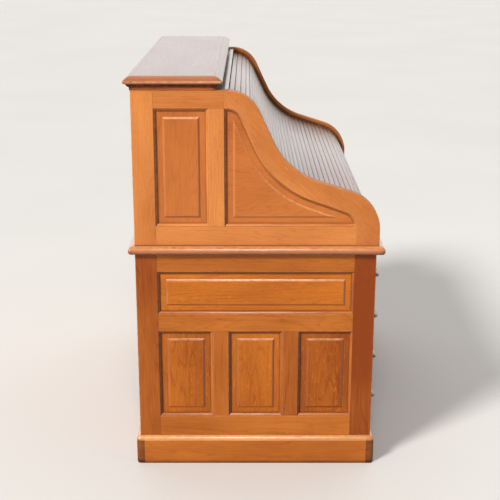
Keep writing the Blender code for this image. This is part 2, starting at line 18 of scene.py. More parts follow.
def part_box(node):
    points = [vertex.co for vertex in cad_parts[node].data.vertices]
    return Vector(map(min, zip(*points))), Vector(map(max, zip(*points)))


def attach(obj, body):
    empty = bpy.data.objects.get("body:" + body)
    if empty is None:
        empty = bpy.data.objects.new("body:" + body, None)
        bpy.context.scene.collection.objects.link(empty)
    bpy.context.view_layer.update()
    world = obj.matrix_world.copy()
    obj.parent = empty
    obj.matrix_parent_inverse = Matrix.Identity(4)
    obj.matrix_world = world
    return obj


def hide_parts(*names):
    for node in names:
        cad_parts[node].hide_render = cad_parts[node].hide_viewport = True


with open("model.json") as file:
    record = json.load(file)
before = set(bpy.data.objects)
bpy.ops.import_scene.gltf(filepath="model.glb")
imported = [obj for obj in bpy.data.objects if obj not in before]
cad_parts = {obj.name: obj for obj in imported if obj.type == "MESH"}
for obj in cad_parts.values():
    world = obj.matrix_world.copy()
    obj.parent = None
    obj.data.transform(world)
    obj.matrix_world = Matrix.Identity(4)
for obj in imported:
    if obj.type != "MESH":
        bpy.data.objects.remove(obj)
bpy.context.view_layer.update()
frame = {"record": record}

# Sizes shared with the CAD model ------------
GAP = 0.0003                # between pieces that touch
CASE_HALF = 0.66
UPPER_FRONT = -0.396
LOWER_FRONT = -0.388
CASE_BACK = 0.394
PLINTH_TOP = 0.1
LOWER_TOP = 0.746
WRITING_Z = 0.774
CASE_TOP = 1.274
SIDE_THICK = 0.024
UPPER_SIDE_THICK = 0.028
STILE = 0.07
LOWER_TOP_RAIL = 0.062
WIDE_PANEL_HEIGHT = 0.145
MIDDLE_RAIL = 0.062
BOTTOM_RAIL = 0.072
LOWER_MUNTIN = 0.0525
UPPER_TOP_RAIL = 0.057
UPPER_BOTTOM_RAIL = 0.064
BACK_PANEL_WIDTH = 0.171
UPPER_MUNTIN = 0.05
CURVED_RAIL = 0.057
CURVED_RAIL_SPREAD = 0.018  # how much wider the curved rail grows towards its foot

# The S edge of the sides: bulge, hollow and nose, from the top forwards and down
STEEP = math.radians(65.1)
SHALLOW = math.radians(17.6)
TOP_RADIUS = 0.114
STEEP_RUN = 0.106
HOLLOW_RADIUS = 0.24
SHALLOW_RUN = 0.1127
NOSE_RADIUS = 0.13
S_LEAD = 0.3                # straight before the bulge
S_TAIL = 0.08               # straight below the nose
CURVE_STEPS = 64
CORNER_STEPS = 4            # in half a rounded corner

# The tambour
CANVAS_INSET = 0.032
SLAT_THICK = 0.012
SLAT_PITCH = 0.0183
SLATS_PER_SECTION = 4
SECTIONS = 9
RAIL_HEIGHT = 0.052
RAIL_THICK = 0.02
SLAT_HALF = CASE_HALF - UPPER_SIDE_THICK - 0.001    # half the length of a slat
SLAT_END = 0.0015           # length of a slat's tapered end

# The drawers: front, side and bottom thickness, and how far the rim lies below the front
LARGE_DRAWER = (0.02, 0.012, 0.008, 0.02)
SMALL_DRAWER = (0.012, 0.007, 0.005, 0.0)
KNOB = [                      # reach, radius, wear
    (0.0, 0.0034, -0.8), (0.003, 0.003, -0.4), (0.006, 0.004, 0.2), (0.009, 0.0062, 0.8),
    (0.012, 0.0062, 0.8), (0.0145, 0.004, 0.4), (0.0152, 0.0004, 0.3),
]

# Mouldings
STICKING = 0.0085           # width of the moulded edge round an opening
PANEL_SUNK = 0.01
PANEL_BACK = 0.018          # how deep a side's panel reaches
BACK_BAYS = 4               # panels in each back
BACK_STILE = 0.075          # width of the boards between them
FIELD_MARGIN = 0.027
FIELD_STEP = 0.0065
FIELD_RAISE = 0.0046
EASE = 0.0012               # rounding of a board's arris
BEAD = 0.0022               # and of a drawer front's
JOINT_EASE = 0.0003         # and of a board where it meets another
THIN_EASE = 0.0008          # and of a thin board's
BAND = 0.003                # how far wear or dust reaches from an edge
JOINT_DUST = -0.25          # dust in the joint between two boards

# The camera, at the photograph's viewing angle
CAMERA_AT = (-3.8671, 0.028, 1.7288)
CAMERA_DOWN = math.radians(16.823)
CAMERA_YAW = math.radians(-0.112)
CAMERA_ROLL = math.radians(0.07)
CAMERA_LENS = 74.72
CAMERA_SENSOR = 36.0

# The light: a sun-like lamp, a high round lamp, and a sky that is brighter beyond the far end
LAMP_SIDE = (-0.54, 0.56, 0.62)
LAMP_STRENGTH = 3.2
LAMP_ANGLE = math.radians(13)
LAMP_COLOUR = (1.0, 0.97, 0.93)
HIGH_LAMP_AT = (-4.2, 0.05, 4.3)
HIGH_LAMP_POWER = 60.0
HIGH_LAMP_SIZE = 0.95
HIGH_LAMP_AIM = (-0.66, 0.0, 0.6)
BRIGHT_SIDE = (0.95, 0.0, 0.31)
SKY_SPAN = (0.1, 0.95)      # where the sky starts to brighten, and where it is brightest
SKY_LOW = 0.33
SKY_HIGH = 1.3
SKY_COLOUR = (1.0, 0.985, 0.975, 1.0)
FLOOR_REACH = 200.0

X, Y, Z = (Vector(way) for way in ((1, 0, 0), (0, 1, 0), (0, 0, 1)))
rng = random.Random(1887)


# Boards ------------
class Grain:
    """How one board's grain lies: unit directions along and across it, and its own offset."""

    def __init__(self, along, across, tone=None):
        self.along = Vector(along)
        self.across = Vector(across)
        self.through = self.along.cross(self.across)
        self.offset = Vector([rng.uniform(0.0, 40.0) for _ in range(3)])
        self.tone = rng.uniform(-0.35, 0.35) if tone is None else tone

    def at(self, point):
        turned = Vector((point.dot(self.along), point.dot(self.across), point.dot(self.through)))
        return turned + self.offset


class Piece:
    """One visible piece, gathered from boards and mouldings."""

    def __init__(self):
        self.corners = []
        self.faces = []
        self.slots = []

    def vertex(self, point, grain, wear_and_painted_light):
        self.corners.append((tuple(point), tuple(grain.at(Vector(point))), wear_and_painted_light, grain.tone))
        return len(self.corners) - 1

    def face(self, corners, slot=0):
        self.faces.append(corners)
        self.slots.append(slot)

    def rows(self, rows, grain, wear_and_painted_light, closed=False, caps=False, slot=0, flip=False):
        """Quads between rows of points. The wear and painted light has one value for each row, or
        one for each point.
        """
        made = []
        for row, wear_and_light_value in zip(rows, wear_and_painted_light):
            wear_and_light_value = wear_and_light_value if isinstance(wear_and_light_value, (list, tuple)) else [wear_and_light_value] * len(row)
            made.append([self.vertex(p, grain, w) for p, w in zip(row, wear_and_light_value)])
        turned = (lambda corners: tuple(reversed(corners))) if flip else tuple
        for near, far in zip(made, made[1:]):
            for i in range(len(near) - (0 if closed else 1)):
                j = (i + 1) % len(near)
                self.face(turned((near[i], near[j], far[j], far[i])), slot)
        if caps:
            self.face(turned(tuple(reversed(made[0]))), slot)
            self.face(turned(tuple(made[-1])), slot)

    def solid(self, rows, grain, wear_and_painted_light, **how):
        """Rows that run round a solid, closed at both ends."""
        self.rows(rows, grain, wear_and_painted_light, closed=True, caps=True, **how)

    def cap(self, ring, grain, wear_and_painted_light, flip):
        """A flat face over a ring of points."""
        corners = [self.vertex(point, grain, wear_and_painted_light) for point in ring]
        self.face(tuple(reversed(corners)) if flip else tuple(corners))

    def board(self, low, high, along, across, ease=EASE, joints="", tone=None, slot=0, band=BAND):
        """A board with eased edges.

        joints names the sides that meet other wood, such as "x" or "Z".
        """
        grain = Grain(along, across, tone)
        low, high = Vector(low), Vector(high)
        stops, signs = [], []
        for axis, letter in enumerate("xyz"):
            length = high[axis] - low[axis]
            met = [mark in joints for mark in (letter, letter.upper())]
            near, far = (min(JOINT_EASE if joint else ease, length * 0.3) for joint in met)
            inner = [near + band, length - far - band] if length > near + far + 3 * band else []
            stops.append([low[axis] + s for s in [0.0, near, *inner, length - far, length]])
            signs.append([JOINT_DUST if joint else 1.0 for joint in met])
        found = {}

        def corner(index):
            if index not in found:
                place = Vector([stops[a][index[a]] for a in range(3)])
                core, marks = [], []
                for a in range(3):
                    count = len(stops[a])
                    core.append(min(max(place[a], stops[a][1]), stops[a][-2]))
                    side = 0 if index[a] < count / 2 else 1
                    steps = min(index[a], count - 1 - index[a])
                    marks.append(((1.0, 0.6, 0.0)[min(steps, 2)], signs[a][side]))
                out = place - Vector(core)
                out /= math.sqrt(max(1, sum(abs(step) > 1e-9 for step in out)))
                marks.sort(reverse=True)
                wear_and_light_value = marks[1][0] * min(marks[0][1], marks[1][1])
                found[index] = self.vertex(Vector(core) + out, grain, wear_and_light_value)
            return found[index]

        for axis in range(3):
            a, b = (axis + 1) % 3, (axis + 2) % 3
            for end in (0, len(stops[axis]) - 1):
                for i in range(len(stops[a]) - 1):
                    for j in range(len(stops[b]) - 1):
                        quad = []
                        for di, dj in ((0, 0), (1, 0), (1, 1), (0, 1)):
                            index = [0, 0, 0]
                            index[axis], index[a], index[b] = end, i + di, j + dj
                            quad.append(corner(tuple(index)))
                        self.face(tuple(quad if end else reversed(quad)), slot)
        return grain

    def build(self, name, body, materials, slot, replaces, crease):
        """Makes the object, gives it its attributes and rides it on its body."""
        mesh = bpy.data.meshes.new(name)
        points, grains, wear_and_painted_light, tones = zip(*self.corners)
        mesh.from_pydata(points, [], self.faces)
        mesh.validate()
        for label, kind, values in (
            ("grain", "FLOAT_VECTOR", [c for grain in grains for c in grain]),
            ("wear_and_painted_light", "FLOAT", wear_and_painted_light),
            ("tone", "FLOAT", tones),
        ):
            layer = mesh.attributes.new(label, kind, "POINT")
            layer.data.foreach_set("vector" if kind == "FLOAT_VECTOR" else "value", values)
        for material in materials:
            mesh.materials.append(material)
        mesh.polygons.foreach_set("material_index", self.slots)
        mesh.shade_smooth()
        mesh.set_sharp_from_angle(angle=math.radians(crease))
        obj = bpy.data.objects.new(name, mesh)
        bpy.context.scene.collection.objects.link(obj)
        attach(obj, body)
        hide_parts(*replaces)


class Plane:
    """A flat face of the desk: u along it, v up it, and d from the face into the wood."""

    def __init__(self, origin, u, d):
        self.origin = Vector(origin)
        self.u = Vector(u)
        self.v = Z
        self.d = Vector(d)
        self.flip = self.u.cross(self.v).dot(self.d) > 0

    def at(self, u, v, d):
        return self.origin + self.u * u + self.v * v + self.d * d

    def grain(self, along, tone):
        """Grain that runs along u or along v."""
        return Grain(*((self.u, self.v) if along == "u" else (self.v, self.u)), tone)

    def board(self, piece, u, v, d, along="u", **how):
        """A board between two values of u, v and d, with its grain along u or along v."""
        ends = [self.at(u[0], v[0], d[0]), self.at(u[1], v[1], d[1])]
        low = [min(pair) for pair in zip(*ends)]
        high = [max(pair) for pair in zip(*ends)]
        sides = {"u": self.u, "v": self.v}
        joints = ""
        for mark in how.pop("joints", ""):
            way = sides[mark.lower()] * (1 if mark.isupper() else -1)
            axis = max(range(3), key=lambda a: abs(way[a]))
            letter = "xyz"[axis]
            joints += letter.upper() if way[axis] > 0 else letter
        across = "v" if along == "u" else "u"
        return piece.board(low, high, sides[along], sides[across], joints=joints, **how)

    def ring(self, outline, depth):
        return [self.at(u, v, depth) for u, v in outline]


# Outlines in a plane ------------
def rectangle(u0, u1, v0, v1):
    """An opening: a function that gives its outline, inset by any amount."""
    def outline(inset=0.0):
        return [
            (u0 + inset, v0 + inset),
            (u1 - inset, v0 + inset),
            (u1 - inset, v1 - inset),
            (u0 + inset, v1 - inset),
        ]
    return outline


def walk(start, heading, segments, distance):
    """The (y, z) point and heading after a distance along lines and arcs.

    A segment is (radius, turn) for an arc, or (None, length) for a line.
    """
    y, z = start
    for radius, amount in segments:
        length = amount if radius is None else radius * abs(amount)
        part = min(distance, length)
        if radius is None:
            y += part * math.cos(heading)
            z += part * math.sin(heading)
        else:
            turned = math.copysign(part / radius, amount)
            side = math.copysign(radius, amount)
            y += side * (math.sin(heading + turned) - math.sin(heading))
            z -= side * (math.cos(heading + turned) - math.cos(heading))
            heading += turned
        distance -= part
        if distance <= 0:
            break
    return (y, z), heading


S_ARCS = [
    (TOP_RADIUS, STEEP),
    (None, STEEP_RUN),
    (HOLLOW_RADIUS, -(STEEP - SHALLOW)),
    (None, SHALLOW_RUN),
    (NOSE_RADIUS, math.pi / 2 - SHALLOW),
]
S_LENGTH = sum(amount if radius is None else radius * abs(amount) for radius, amount in S_ARCS)
S_FOOT = walk((0.0, CASE_TOP), math.pi, S_ARCS, S_LENGTH)[0]
S_START_Y = UPPER_FRONT - S_FOOT[0]


def s_point(distance, inset=0.0, spread=0.0):
    """A point on the S edge, a distance along it from the start of the bulge, moved inwards."""
    path = [(None, S_LEAD), *S_ARCS, (None, S_TAIL)]
    (y, z), heading = walk((S_START_Y + S_LEAD, CASE_TOP), math.pi, path, distance + S_LEAD)
    share = min(max(distance / S_LENGTH, 0.0), 1.0)
    depth = inset + spread * share ** 2
    return y - depth * math.sin(heading), z + depth * math.cos(heading)


def inner_point(distance, inset=0.0):
    """A point on the inner edge of the curved rail."""
    return s_point(distance, CURVED_RAIL + inset, CURVED_RAIL_SPREAD)


def where(test, low, high):
    """The distance where a test along the S stops being true, found by halving."""
    for _ in range(40):
        middle = (low + high) / 2
        if test(middle):
            low = middle
        else:
            high = middle
    return low


def curved_opening(corner, foot):
    """The opening under the S: an upright at its back, the curve, and a level foot."""
    def outline(inset=0.0):
        start = where(lambda t: inner_point(t, inset)[0] > corner - inset, -0.05, 0.3)
        end = where(lambda t: inner_point(t, inset)[1] > foot + inset, 0.0, S_LENGTH + S_TAIL)
        stations = [start + (end - start) * i / CURVE_STEPS for i in range(CURVE_STEPS + 1)]
        return [(corner - inset, foot + inset)] + [inner_point(t, inset) for t in stations]
    return outline


# Joinery ------------
STICKING_PROFILE = [          # share of its width, share of its depth, wear
    (0.0, 0.0, 0.2),
    (0.03, 0.1, 0.3),
    (0.08, 0.16, 0.1),
    (0.34, 0.29, 0.1),
    (0.6, 0.45, 0.1),
    (0.86, 0.63, 0.0),
    (0.94, 0.85, -0.5),
    (0.99, 1.02, -0.9),
]
MITRE = 0.85                  # cosine of the turn from which an outline's sides are mitred
PAINTED_SIDE_SHADE = 0.9             # painted shade where an edge faces away from the window light
PAINTED_TOP_HIGHLIGHT = 0.9              # painted highlight where the edge of a field faces up


def edge(piece, plane, outlines, steps, facing, tone, slot):
    """A moulded strip between outlines, mitred at their corners: steps holds (depth, wear), to
    which painted shade and painted highlights are added by the way each side faces.

    facing is 1 where the strip slopes into an opening, and -1 where it slopes out of a field.
    """
    start = [Vector(point) for point in outlines[0]]
    count = len(start)
    ways = [(start[(i + 1) % count] - start[i]).normalized() for i in range(count)]
    corners = [i for i in range(count) if ways[i - 1].dot(ways[i]) < MITRE]
    for first, last in zip(corners, corners[1:] + [corners[0] + count]):
        grain = plane.grain("u" if abs(ways[first].x) > 0.7 else "v", tone)
        chain = range(first, last + 1)
        # Painted shade on sides facing away from the window light, and on a field's edge a painted
        # highlight where it faces up.
        painted_shade_and_light = []
        for i in chain:
            way = ways[min(i, last - 1) % count] * facing
            upright = way.y * max(0.0, 1.0 - 1.3 * max(0.0, way.x))
            mark = -PAINTED_SIDE_SHADE * (1.0 if facing > 0 else 0.6) * max(0.0, upright, -0.7 * way.x)
            painted_shade_and_light.append(mark if facing > 0 else mark + PAINTED_TOP_HIGHLIGHT * max(0.0, way.x))
        rows, wear_and_painted_light = [], []
        for outline, (depth, wear_and_light_value) in zip(outlines, steps):
            rows.append([plane.at(*outline[i % count], depth) for i in chain])
            wear_and_painted_light.append([wear_and_light_value + mark for mark in painted_shade_and_light])
        piece.rows(rows, grain, wear_and_painted_light, slot=slot, flip=plane.flip)


def sticking(piece, plane, opening, slot=0):
    """The moulded edge that the frame shows round an opening."""
    outlines = [opening(STICKING * share) for share, _, _ in STICKING_PROFILE]
    steps = [(PANEL_SUNK * deep, wear_and_light_value) for _, deep, wear_and_light_value in STICKING_PROFILE]
    edge(piece, plane, outlines, steps, 1, 0.0, slot)


def fielded_panel(plane, opening, along, tone):
    """A panel with a raised field, down to its back."""
    piece = Piece()
    grain = plane.grain(along, tone)
    steps = [
        (-0.006, PANEL_BACK, 0.0),
        (-0.006, PANEL_SUNK, 0.0),
        (STICKING * 0.9, PANEL_SUNK, -0.6),
        (STICKING + 0.0025, PANEL_SUNK - 0.0002, -0.15),
        (STICKING + 0.008, PANEL_SUNK - 0.0006, 0.0),
        (FIELD_MARGIN - 0.0015, PANEL_SUNK - 0.0009, 0.0),
        (FIELD_MARGIN, PANEL_SUNK - 0.001, -0.15),
        (FIELD_MARGIN + FIELD_STEP * 0.5, PANEL_SUNK - FIELD_RAISE * 0.65, 0.15),
        (FIELD_MARGIN + FIELD_STEP, PANEL_SUNK - FIELD_RAISE, 0.3),
        (FIELD_MARGIN + FIELD_STEP + 0.003, PANEL_SUNK - FIELD_RAISE - 0.0003, 0.0),
    ]
    rows = [plane.ring(opening(inset), depth) for inset, depth, _ in steps]
    wear_and_painted_light = [wear_and_light_value for _, _, wear_and_light_value in steps]
    piece.rows(rows[:7], grain, wear_and_painted_light[:7], closed=True, flip=plane.flip)
    bevel = steps[6:9]
    outlines = [opening(inset) for inset, _, _ in bevel]
    edge(piece, plane, outlines, [step[1:] for step in bevel], -1, grain.tone, 1)
    piece.rows(rows[8:], grain, wear_and_painted_light[8:], closed=True, flip=plane.flip)
    for ring, turned_over in ((rows[0], True), (rows[-1], False)):
        piece.cap(ring, grain, 0.0, turned_over != plane.flip)
    return piece


def frame_of(plane, boards):
    """The boards of a frame: u, v and d, the way of the grain, the joints and the tone of each."""
    piece = Piece()
    for u, v, d, along, joints, tone in boards:
        plane.board(piece, u, v, d, along, joints=joints, tone=tone)
    return piece


def fill_frame(piece, plane, node, panels, looks):
    """Moulds a frame's openings, and fits a fielded panel in each.

    panels has, for each panel's node, its opening, the way of its grain and its tone. looks has
    the frame's look, the panels' look, and the oak of their two moulded edges.
    """
    for opening, _, _ in panels.values():
        sticking(piece, plane, opening, slot=1)
    stand_in(piece, node, looks[0], more=(looks[2],))
    for panel, (opening, along, tone) in panels.items():
        piece = fielded_panel(plane, opening, along, tone)
        stand_in(piece, panel, looks[1], crease=28.0, more=(looks[3],))


def rounded_side(x, y, radius, inset, side, fill=()):
    """One side of a rounded rectangle, from the middle of one corner to the middle of the next.

    Side 0 faces -Y, then +X, +Y and -X. fill adds points at distances from both corners.
    """
    half = ((x[1] - x[0]) / 2 - inset, (y[1] - y[0]) / 2 - inset)
    centre = ((x[0] + x[1]) / 2, (y[0] + y[1]) / 2)
    corner = max(radius - inset, 0.0004)
    facing = math.radians(90 * side - 90)
    corners = ((-1, -1), (1, -1), (1, 1), (-1, 1))
    ends = []
    for end in (0, 1):
        sx, sy = corners[(side + end) % 4]
        cx = centre[0] + sx * (half[0] - corner)
        cy = centre[1] + sy * (half[1] - corner)
        start = facing - (1 - end) * math.pi / 4
        turns = [start + math.pi / 4 * i / CORNER_STEPS for i in range(CORNER_STEPS + 1)]
        ends.append([(cx + corner * math.cos(t), cy + corner * math.sin(t)) for t in turns])
    first, last = Vector(ends[0][-1]), Vector(ends[1][0])
    way = (last - first).normalized()
    between = [tuple(first + way * step) for step in fill]
    between += [tuple(last - way * step) for step in reversed(fill)]
    return ends[0] + between + ends[1]


def level_ring(x, y, inset, z):
    """The corners of a rectangle, moved inwards, at one height."""
    return [(px, py, z) for px, py in rectangle(*x, *y)(inset)]


def moulding(piece, x, y, top, profile, radius, tone=None, slots=(0, 0, 0, 0),
             corner_dust_and_shade=-0.4, fill=(0.01, 0.04), fade=(0.3, 0.0)):
    """A moulding round a rectangle, mitred at its corners.

    The profile has (inset from the tip, drop below the top, wear) from the flat downwards; its wear
    carries painted shade and painted highlights too. fade is the share of the corners' darkening at
    each distance in fill, and slots has each side's material.
    """
    for side in range(4):
        way = X if side % 2 == 0 else Y
        grain = Grain(way, Z, tone)
        rows, wear_and_painted_light = [], []
        for inset, drop, wear_and_light_value in profile:
            points = rounded_side(x, y, radius, inset, side, fill)
            rows.append([(px, py, top - drop) for px, py in points])
            marks = [corner_dust_and_shade] * (CORNER_STEPS + 1) + [corner_dust_and_shade * share for share in fade]
            marks += marks[::-1]
            wear_and_painted_light.append([wear_and_light_value + mark for mark in marks])
        piece.rows(rows, grain, wear_and_painted_light, slot=slots[side], flip=True)


# Materials ------------
class Surface:
    """A material whose nodes are added one call at a time."""

    def __init__(self, name):
        self.material = bpy.data.materials.new(name)
        self.material.use_nodes = True
        self.nodes = self.material.node_tree.nodes
        self.links = self.material.node_tree.links
        self.shader = self.nodes["Principled BSDF"]

    def put(self, socket, value):
        if isinstance(value, bpy.types.NodeSocket):
            self.links.new(value, socket)
        else:
            socket.default_value = value

    def add(self, kind, inputs, output=0, **settings):
        node = self.nodes.new("ShaderNode" + kind)
        for key, value in settings.items():
            setattr(node, key, value)
        for key, value in inputs.items():
            self.put(node.inputs[key], value)
        return node.outputs[output]

    def attribute(self, name, output):
        return self.add("Attribute", {}, output, attribute_name=name)

    def scaled(self, vector, scale):
        return self.add("VectorMath", {0: vector, 1: scale}, operation="MULTIPLY")

    def noise(self, vector, scale, detail=2.0, roughness=0.5, distortion=0.0):
        inputs = {"Vector": self.scaled(vector, scale), "Scale": 1.0, "Detail": detail,
                  "Roughness": roughness, "Distortion": distortion}
        return self.add("TexNoise", inputs)

    def math(self, operation, a, b=0.0, c=0.0, clamp=False):
        return self.add("Math", {0: a, 1: b, 2: c}, operation=operation, use_clamp=clamp)

    def product(self, a, b):
        return self.math("MULTIPLY", a, b)

    def sum(self, a, b, c, clamp=False):
        """a times b, plus c."""
        return self.math("MULTIPLY_ADD", a, b, c, clamp)

    def swing(self, value, amount, base):
        """A base that a value sways to both sides of, by an amount."""
        return self.sum(self.math("SUBTRACT", value, 0.5), amount, base)

    def span(self, value, low, high, to_low=0.0, to_high=1.0):
        """A value's place between low and high, as a place between two other values."""
        return self.add("MapRange", dict(enumerate((value, low, high, to_low, to_high))))

    def mix(self, factor, a, b, blend="MIX"):
        node = self.nodes.new("ShaderNodeMix")
        node.data_type = "RGBA"
        node.blend_type = blend
        sockets = [s for s in node.inputs if s.type == "RGBA"]
        self.put(node.inputs[0], factor)
        for socket, value in zip(sockets, (a, b)):
            self.put(socket, value if isinstance(value, bpy.types.NodeSocket) else (*value, 1.0))
        return [s for s in node.outputs if s.type == "RGBA"][0]

    def set(self, **values):
        for name, value in values.items():
            self.put(self.shader.inputs[name.replace("_", " ")], value)


def oak(name, light, dark, roughness, coat, figure, flecks, specular):
    """Waxed oak: growth rings, blotches, fibres and pores, with rubbed and grimy edges, and the
    painted highlights and painted shade that share their marks.
    """
    wood = Surface(name)
    grain = wood.attribute("grain", 1)
    wear_and_painted_light = wood.attribute("wear_and_painted_light", 2)
    tone = wood.attribute("tone", 2)
    run = wood.add("SeparateXYZ", {0: grain}, 1)

    swirl = wood.noise(grain, (1.1, 9.0, 9.0), 2.0, 0.45, 0.25)
    rings = wood.math("FRACT", wood.sum(swirl, 26.0, wood.product(run, 70.0)))
    late = wood.math("SMOOTH_MIN", wood.span(rings, 0.0, 0.3), wood.span(rings, 1.0, 0.93), 0.2)
    fibres = wood.noise(grain, (7.0, 330.0, 330.0), 4.0, 0.6)
    pores = wood.noise(grain, (40.0, 1500.0, 1500.0), 1.0)
    blotches = wood.noise(grain, (3.0, 9.0, 9.0), 3.0, 0.55)
    broad = wood.noise(grain, (1.2, 2.6, 2.6), 1.0)

    shade = wood.sum(late, 0.15 * figure, 0.42)
    shade = wood.swing(fibres, 0.75, shade)
    shade = wood.swing(blotches, 1.15, shade)
    shade = wood.swing(broad, 0.9, shade)
    shade = wood.sum(tone, 0.3, shade, clamp=True)
    colour = wood.mix(shade, dark, light)
    if flecks:
        curl = wood.noise(grain, (30.0, 95.0, 95.0), 3.0, 0.6, 1.5)
        fleck = wood.product(wood.span(curl, 0.54, 0.7), flecks)
        colour = wood.mix(fleck, colour, [min(1.0, c * 1.35) for c in light])
    open_pores = wood.product(wood.span(pores, 0.6, 0.72), wood.span(late, 0.9, 0.1, 0.25, 0.75))
    colour = wood.mix(open_pores, colour, [c * 0.45 for c in dark])

    breaks = wood.noise(grain, (60.0, 90.0, 90.0), 3.0, 0.6)
    # paler where an edge is rubbed and where a highlight is painted
    rubbed_and_highlit = wood.product(wood.span(wear_and_painted_light, 0.1, 1.0), wood.span(breaks, 0.3, 0.62))
    pale = [0.55 * c + 0.45 * p for c, p in zip(light, (0.95, 0.62, 0.33))]
    colour = wood.mix(wood.product(rubbed_and_highlit, 0.42), colour, pale)
    # darker where polish and dust collect and where shade is painted
    grime_and_shade = wood.product(wood.span(wear_and_painted_light, -0.05, -1.0), wood.span(breaks, 0.2, 0.55, 0.55, 0.95))
    colour = wood.mix(grime_and_shade, colour, [0.2 * c + 0.004 for c in dark])

    polish = wood.swing(fibres, 0.22, roughness)
    polish = wood.swing(blotches, 0.16, polish)
    polish = wood.sum(grime_and_shade, 0.22, polish, clamp=True)
    height = wood.sum(fibres, 0.5, wood.product(open_pores, -0.8))
    height = wood.sum(late, 0.25, height)
    height = wood.sum(blotches, 1.1, height)
    bump = wood.add("Bump", {"Strength": 0.35, "Distance": 0.0006, "Height": height})
    wood.set(Base_Color=colour, Roughness=polish, Normal=bump, Specular_IOR_Level=specular)
    if coat:
        wood.set(Coat_Weight=coat, Coat_Roughness=0.22, Coat_Normal=bump)
    return wood.material


def brass(name):
    """Old brass: bright on the rubbed high places, brown in the scratches."""
    metal = Surface(name)
    grain = metal.attribute("grain", 1)
    wear_and_painted_light = metal.attribute("wear_and_painted_light", 2)
    clouds = metal.noise(grain, (90.0, 90.0, 90.0), 4.0, 0.6)
    scratches = metal.noise(grain, (2500.0, 60.0, 900.0), 2.0)
    dull = metal.sum(wear_and_painted_light, -0.5, clouds, clamp=True)
    colour = metal.mix(dull, (0.8, 0.58, 0.25), (0.34, 0.19, 0.06))
    rough = metal.sum(clouds, 0.3, 0.16)
    bump = metal.add("Bump", {"Strength": 0.25, "Distance": 0.0002, "Height": scratches})
    metal.set(Base_Color=colour, Metallic=1.0, Roughness=rough, Normal=bump)
    return metal.material


def canvas(name):
    """The duck canvas that the slats are glued to."""
    cloth = Surface(name)
    grain = cloth.attribute("grain", 1)
    warp, weft = (
        cloth.add("TexWave", {0: grain, "Scale": scale, "Distortion": 0.6}, 1, bands_direction=way)
        for scale, way in ((320.0, "X"), (300.0, "Y"))
    )
    weave = cloth.product(warp, weft)
    stains = cloth.noise(grain, (9.0, 14.0, 14.0), 3.0)
    shade = cloth.sum(weave, 0.35, cloth.product(stains, 0.8), clamp=True)
    colour = cloth.mix(shade, (0.16, 0.12, 0.08), (0.52, 0.45, 0.34))
    bump = cloth.add("Bump", {"Strength": 0.5, "Distance": 0.0004, "Height": weave})
    cloth.set(Base_Color=colour, Roughness=0.9, Normal=bump)
    return cloth.material


def floor_finish(name):
    """A plain pale floor, a little uneven in tone and polish."""
    ground = Surface(name)
    where_at = ground.add("TexCoord", {}, 3)
    clouds = ground.noise(where_at, (0.6, 0.6, 0.6), 3.0)
    grit = ground.noise(where_at, (140.0, 140.0, 140.0), 2.0)
    colour = ground.mix(clouds, (0.61, 0.6, 0.58), (0.67, 0.66, 0.64))
    bump = ground.add("Bump", {"Strength": 0.1, "Distance": 0.0005, "Height": grit})
    ground.set(Base_Color=colour, Roughness=0.75, Normal=bump, Specular_IOR_Level=0.2)
    return ground.material


OAKS = {  # light wood, dark wood, roughness, coat, figure, flecks, specular
    # The upper oaks are lighter than the lower ones partly in the wood's own colour and partly as
    # painted light, the upper case standing in brighter light.
    "upper_frame": ((0.665, 0.24, 0.06), (0.42, 0.12, 0.024), 0.4, 0.0, 0.6, 0.12, 0.2),
    "upper_panel": ((0.555, 0.172, 0.038), (0.345, 0.085, 0.017), 0.4, 0.0, 1.0, 0.0, 0.2),
    "lower_frame": ((0.51, 0.157, 0.022), (0.23, 0.042, 0.004), 0.38, 0.0, 1.0, 0.0, 0.18),
    "lower_panel": ((0.52, 0.15, 0.014), (0.25, 0.05, 0.004), 0.38, 0.0, 1.5, 0.35, 0.18),
    "upper_edge": ((0.7, 0.25, 0.055), (0.38, 0.105, 0.016), 0.26, 0.25, 0.6, 0.0, 0.3),
    "upper_bevel": ((0.61, 0.195, 0.042), (0.36, 0.09, 0.016), 0.3, 0.15, 0.6, 0.0, 0.4),
    "lower_edge": ((0.5, 0.15, 0.022), (0.22, 0.044, 0.005), 0.24, 0.3, 0.6, 0.0, 0.3),
    # The next oak is a lighter copy of the lower oak: a painted highlight along the plinth's
    # rounded top edge.
    "plinth_painted_highlight": ((0.7, 0.3, 0.09), (0.45, 0.155, 0.04), 0.2, 0.8, 0.4, 0.0, 0.5),
    "lower_bevel": ((0.52, 0.155, 0.02), (0.25, 0.052, 0.005), 0.26, 0.35, 0.6, 0.0, 0.4),
    "edge": ((0.57, 0.195, 0.055), (0.33, 0.095, 0.024), 0.22, 0.7, 1.0, 0.0, 0.4),
    "top": ((0.27, 0.11, 0.062), (0.13, 0.05, 0.028), 0.34, 0.62, 1.0, 0.0, 0.5),
    "slat": ((0.26, 0.135, 0.095), (0.14, 0.068, 0.048), 0.36, 0.8, 1.0, 0.0, 0.5),
    "inside": ((0.62, 0.36, 0.15), (0.4, 0.19, 0.065), 0.55, 0.0, 1.0, 0.0, 0.4),
    "pull": ((0.17, 0.055, 0.018), (0.055, 0.016, 0.006), 0.3, 0.6, 1.0, 0.0, 0.4),
    "cornice": ((0.6, 0.15, 0.03), (0.2, 0.04, 0.014), 0.42, 0.0, 1.0, 0.0, 0.2),
}
OAK = {name: oak(name + "_oak", *recipe) for name, recipe in OAKS.items()}

# Looks: a piece's main material, and its slot
UPPER_FRAME = (OAK["upper_frame"], "upper_oak")
UPPER_PANEL = (OAK["upper_panel"], "upper_oak")
LOWER_FRAME = (OAK["lower_frame"], "lower_oak")
LOWER_PANEL = (OAK["lower_panel"], "lower_oak")
SLAT_LOOK = (OAK["slat"], "slat_oak")
BRASS = (brass("old_brass"), "brass")
CANVAS = canvas("duck_canvas")

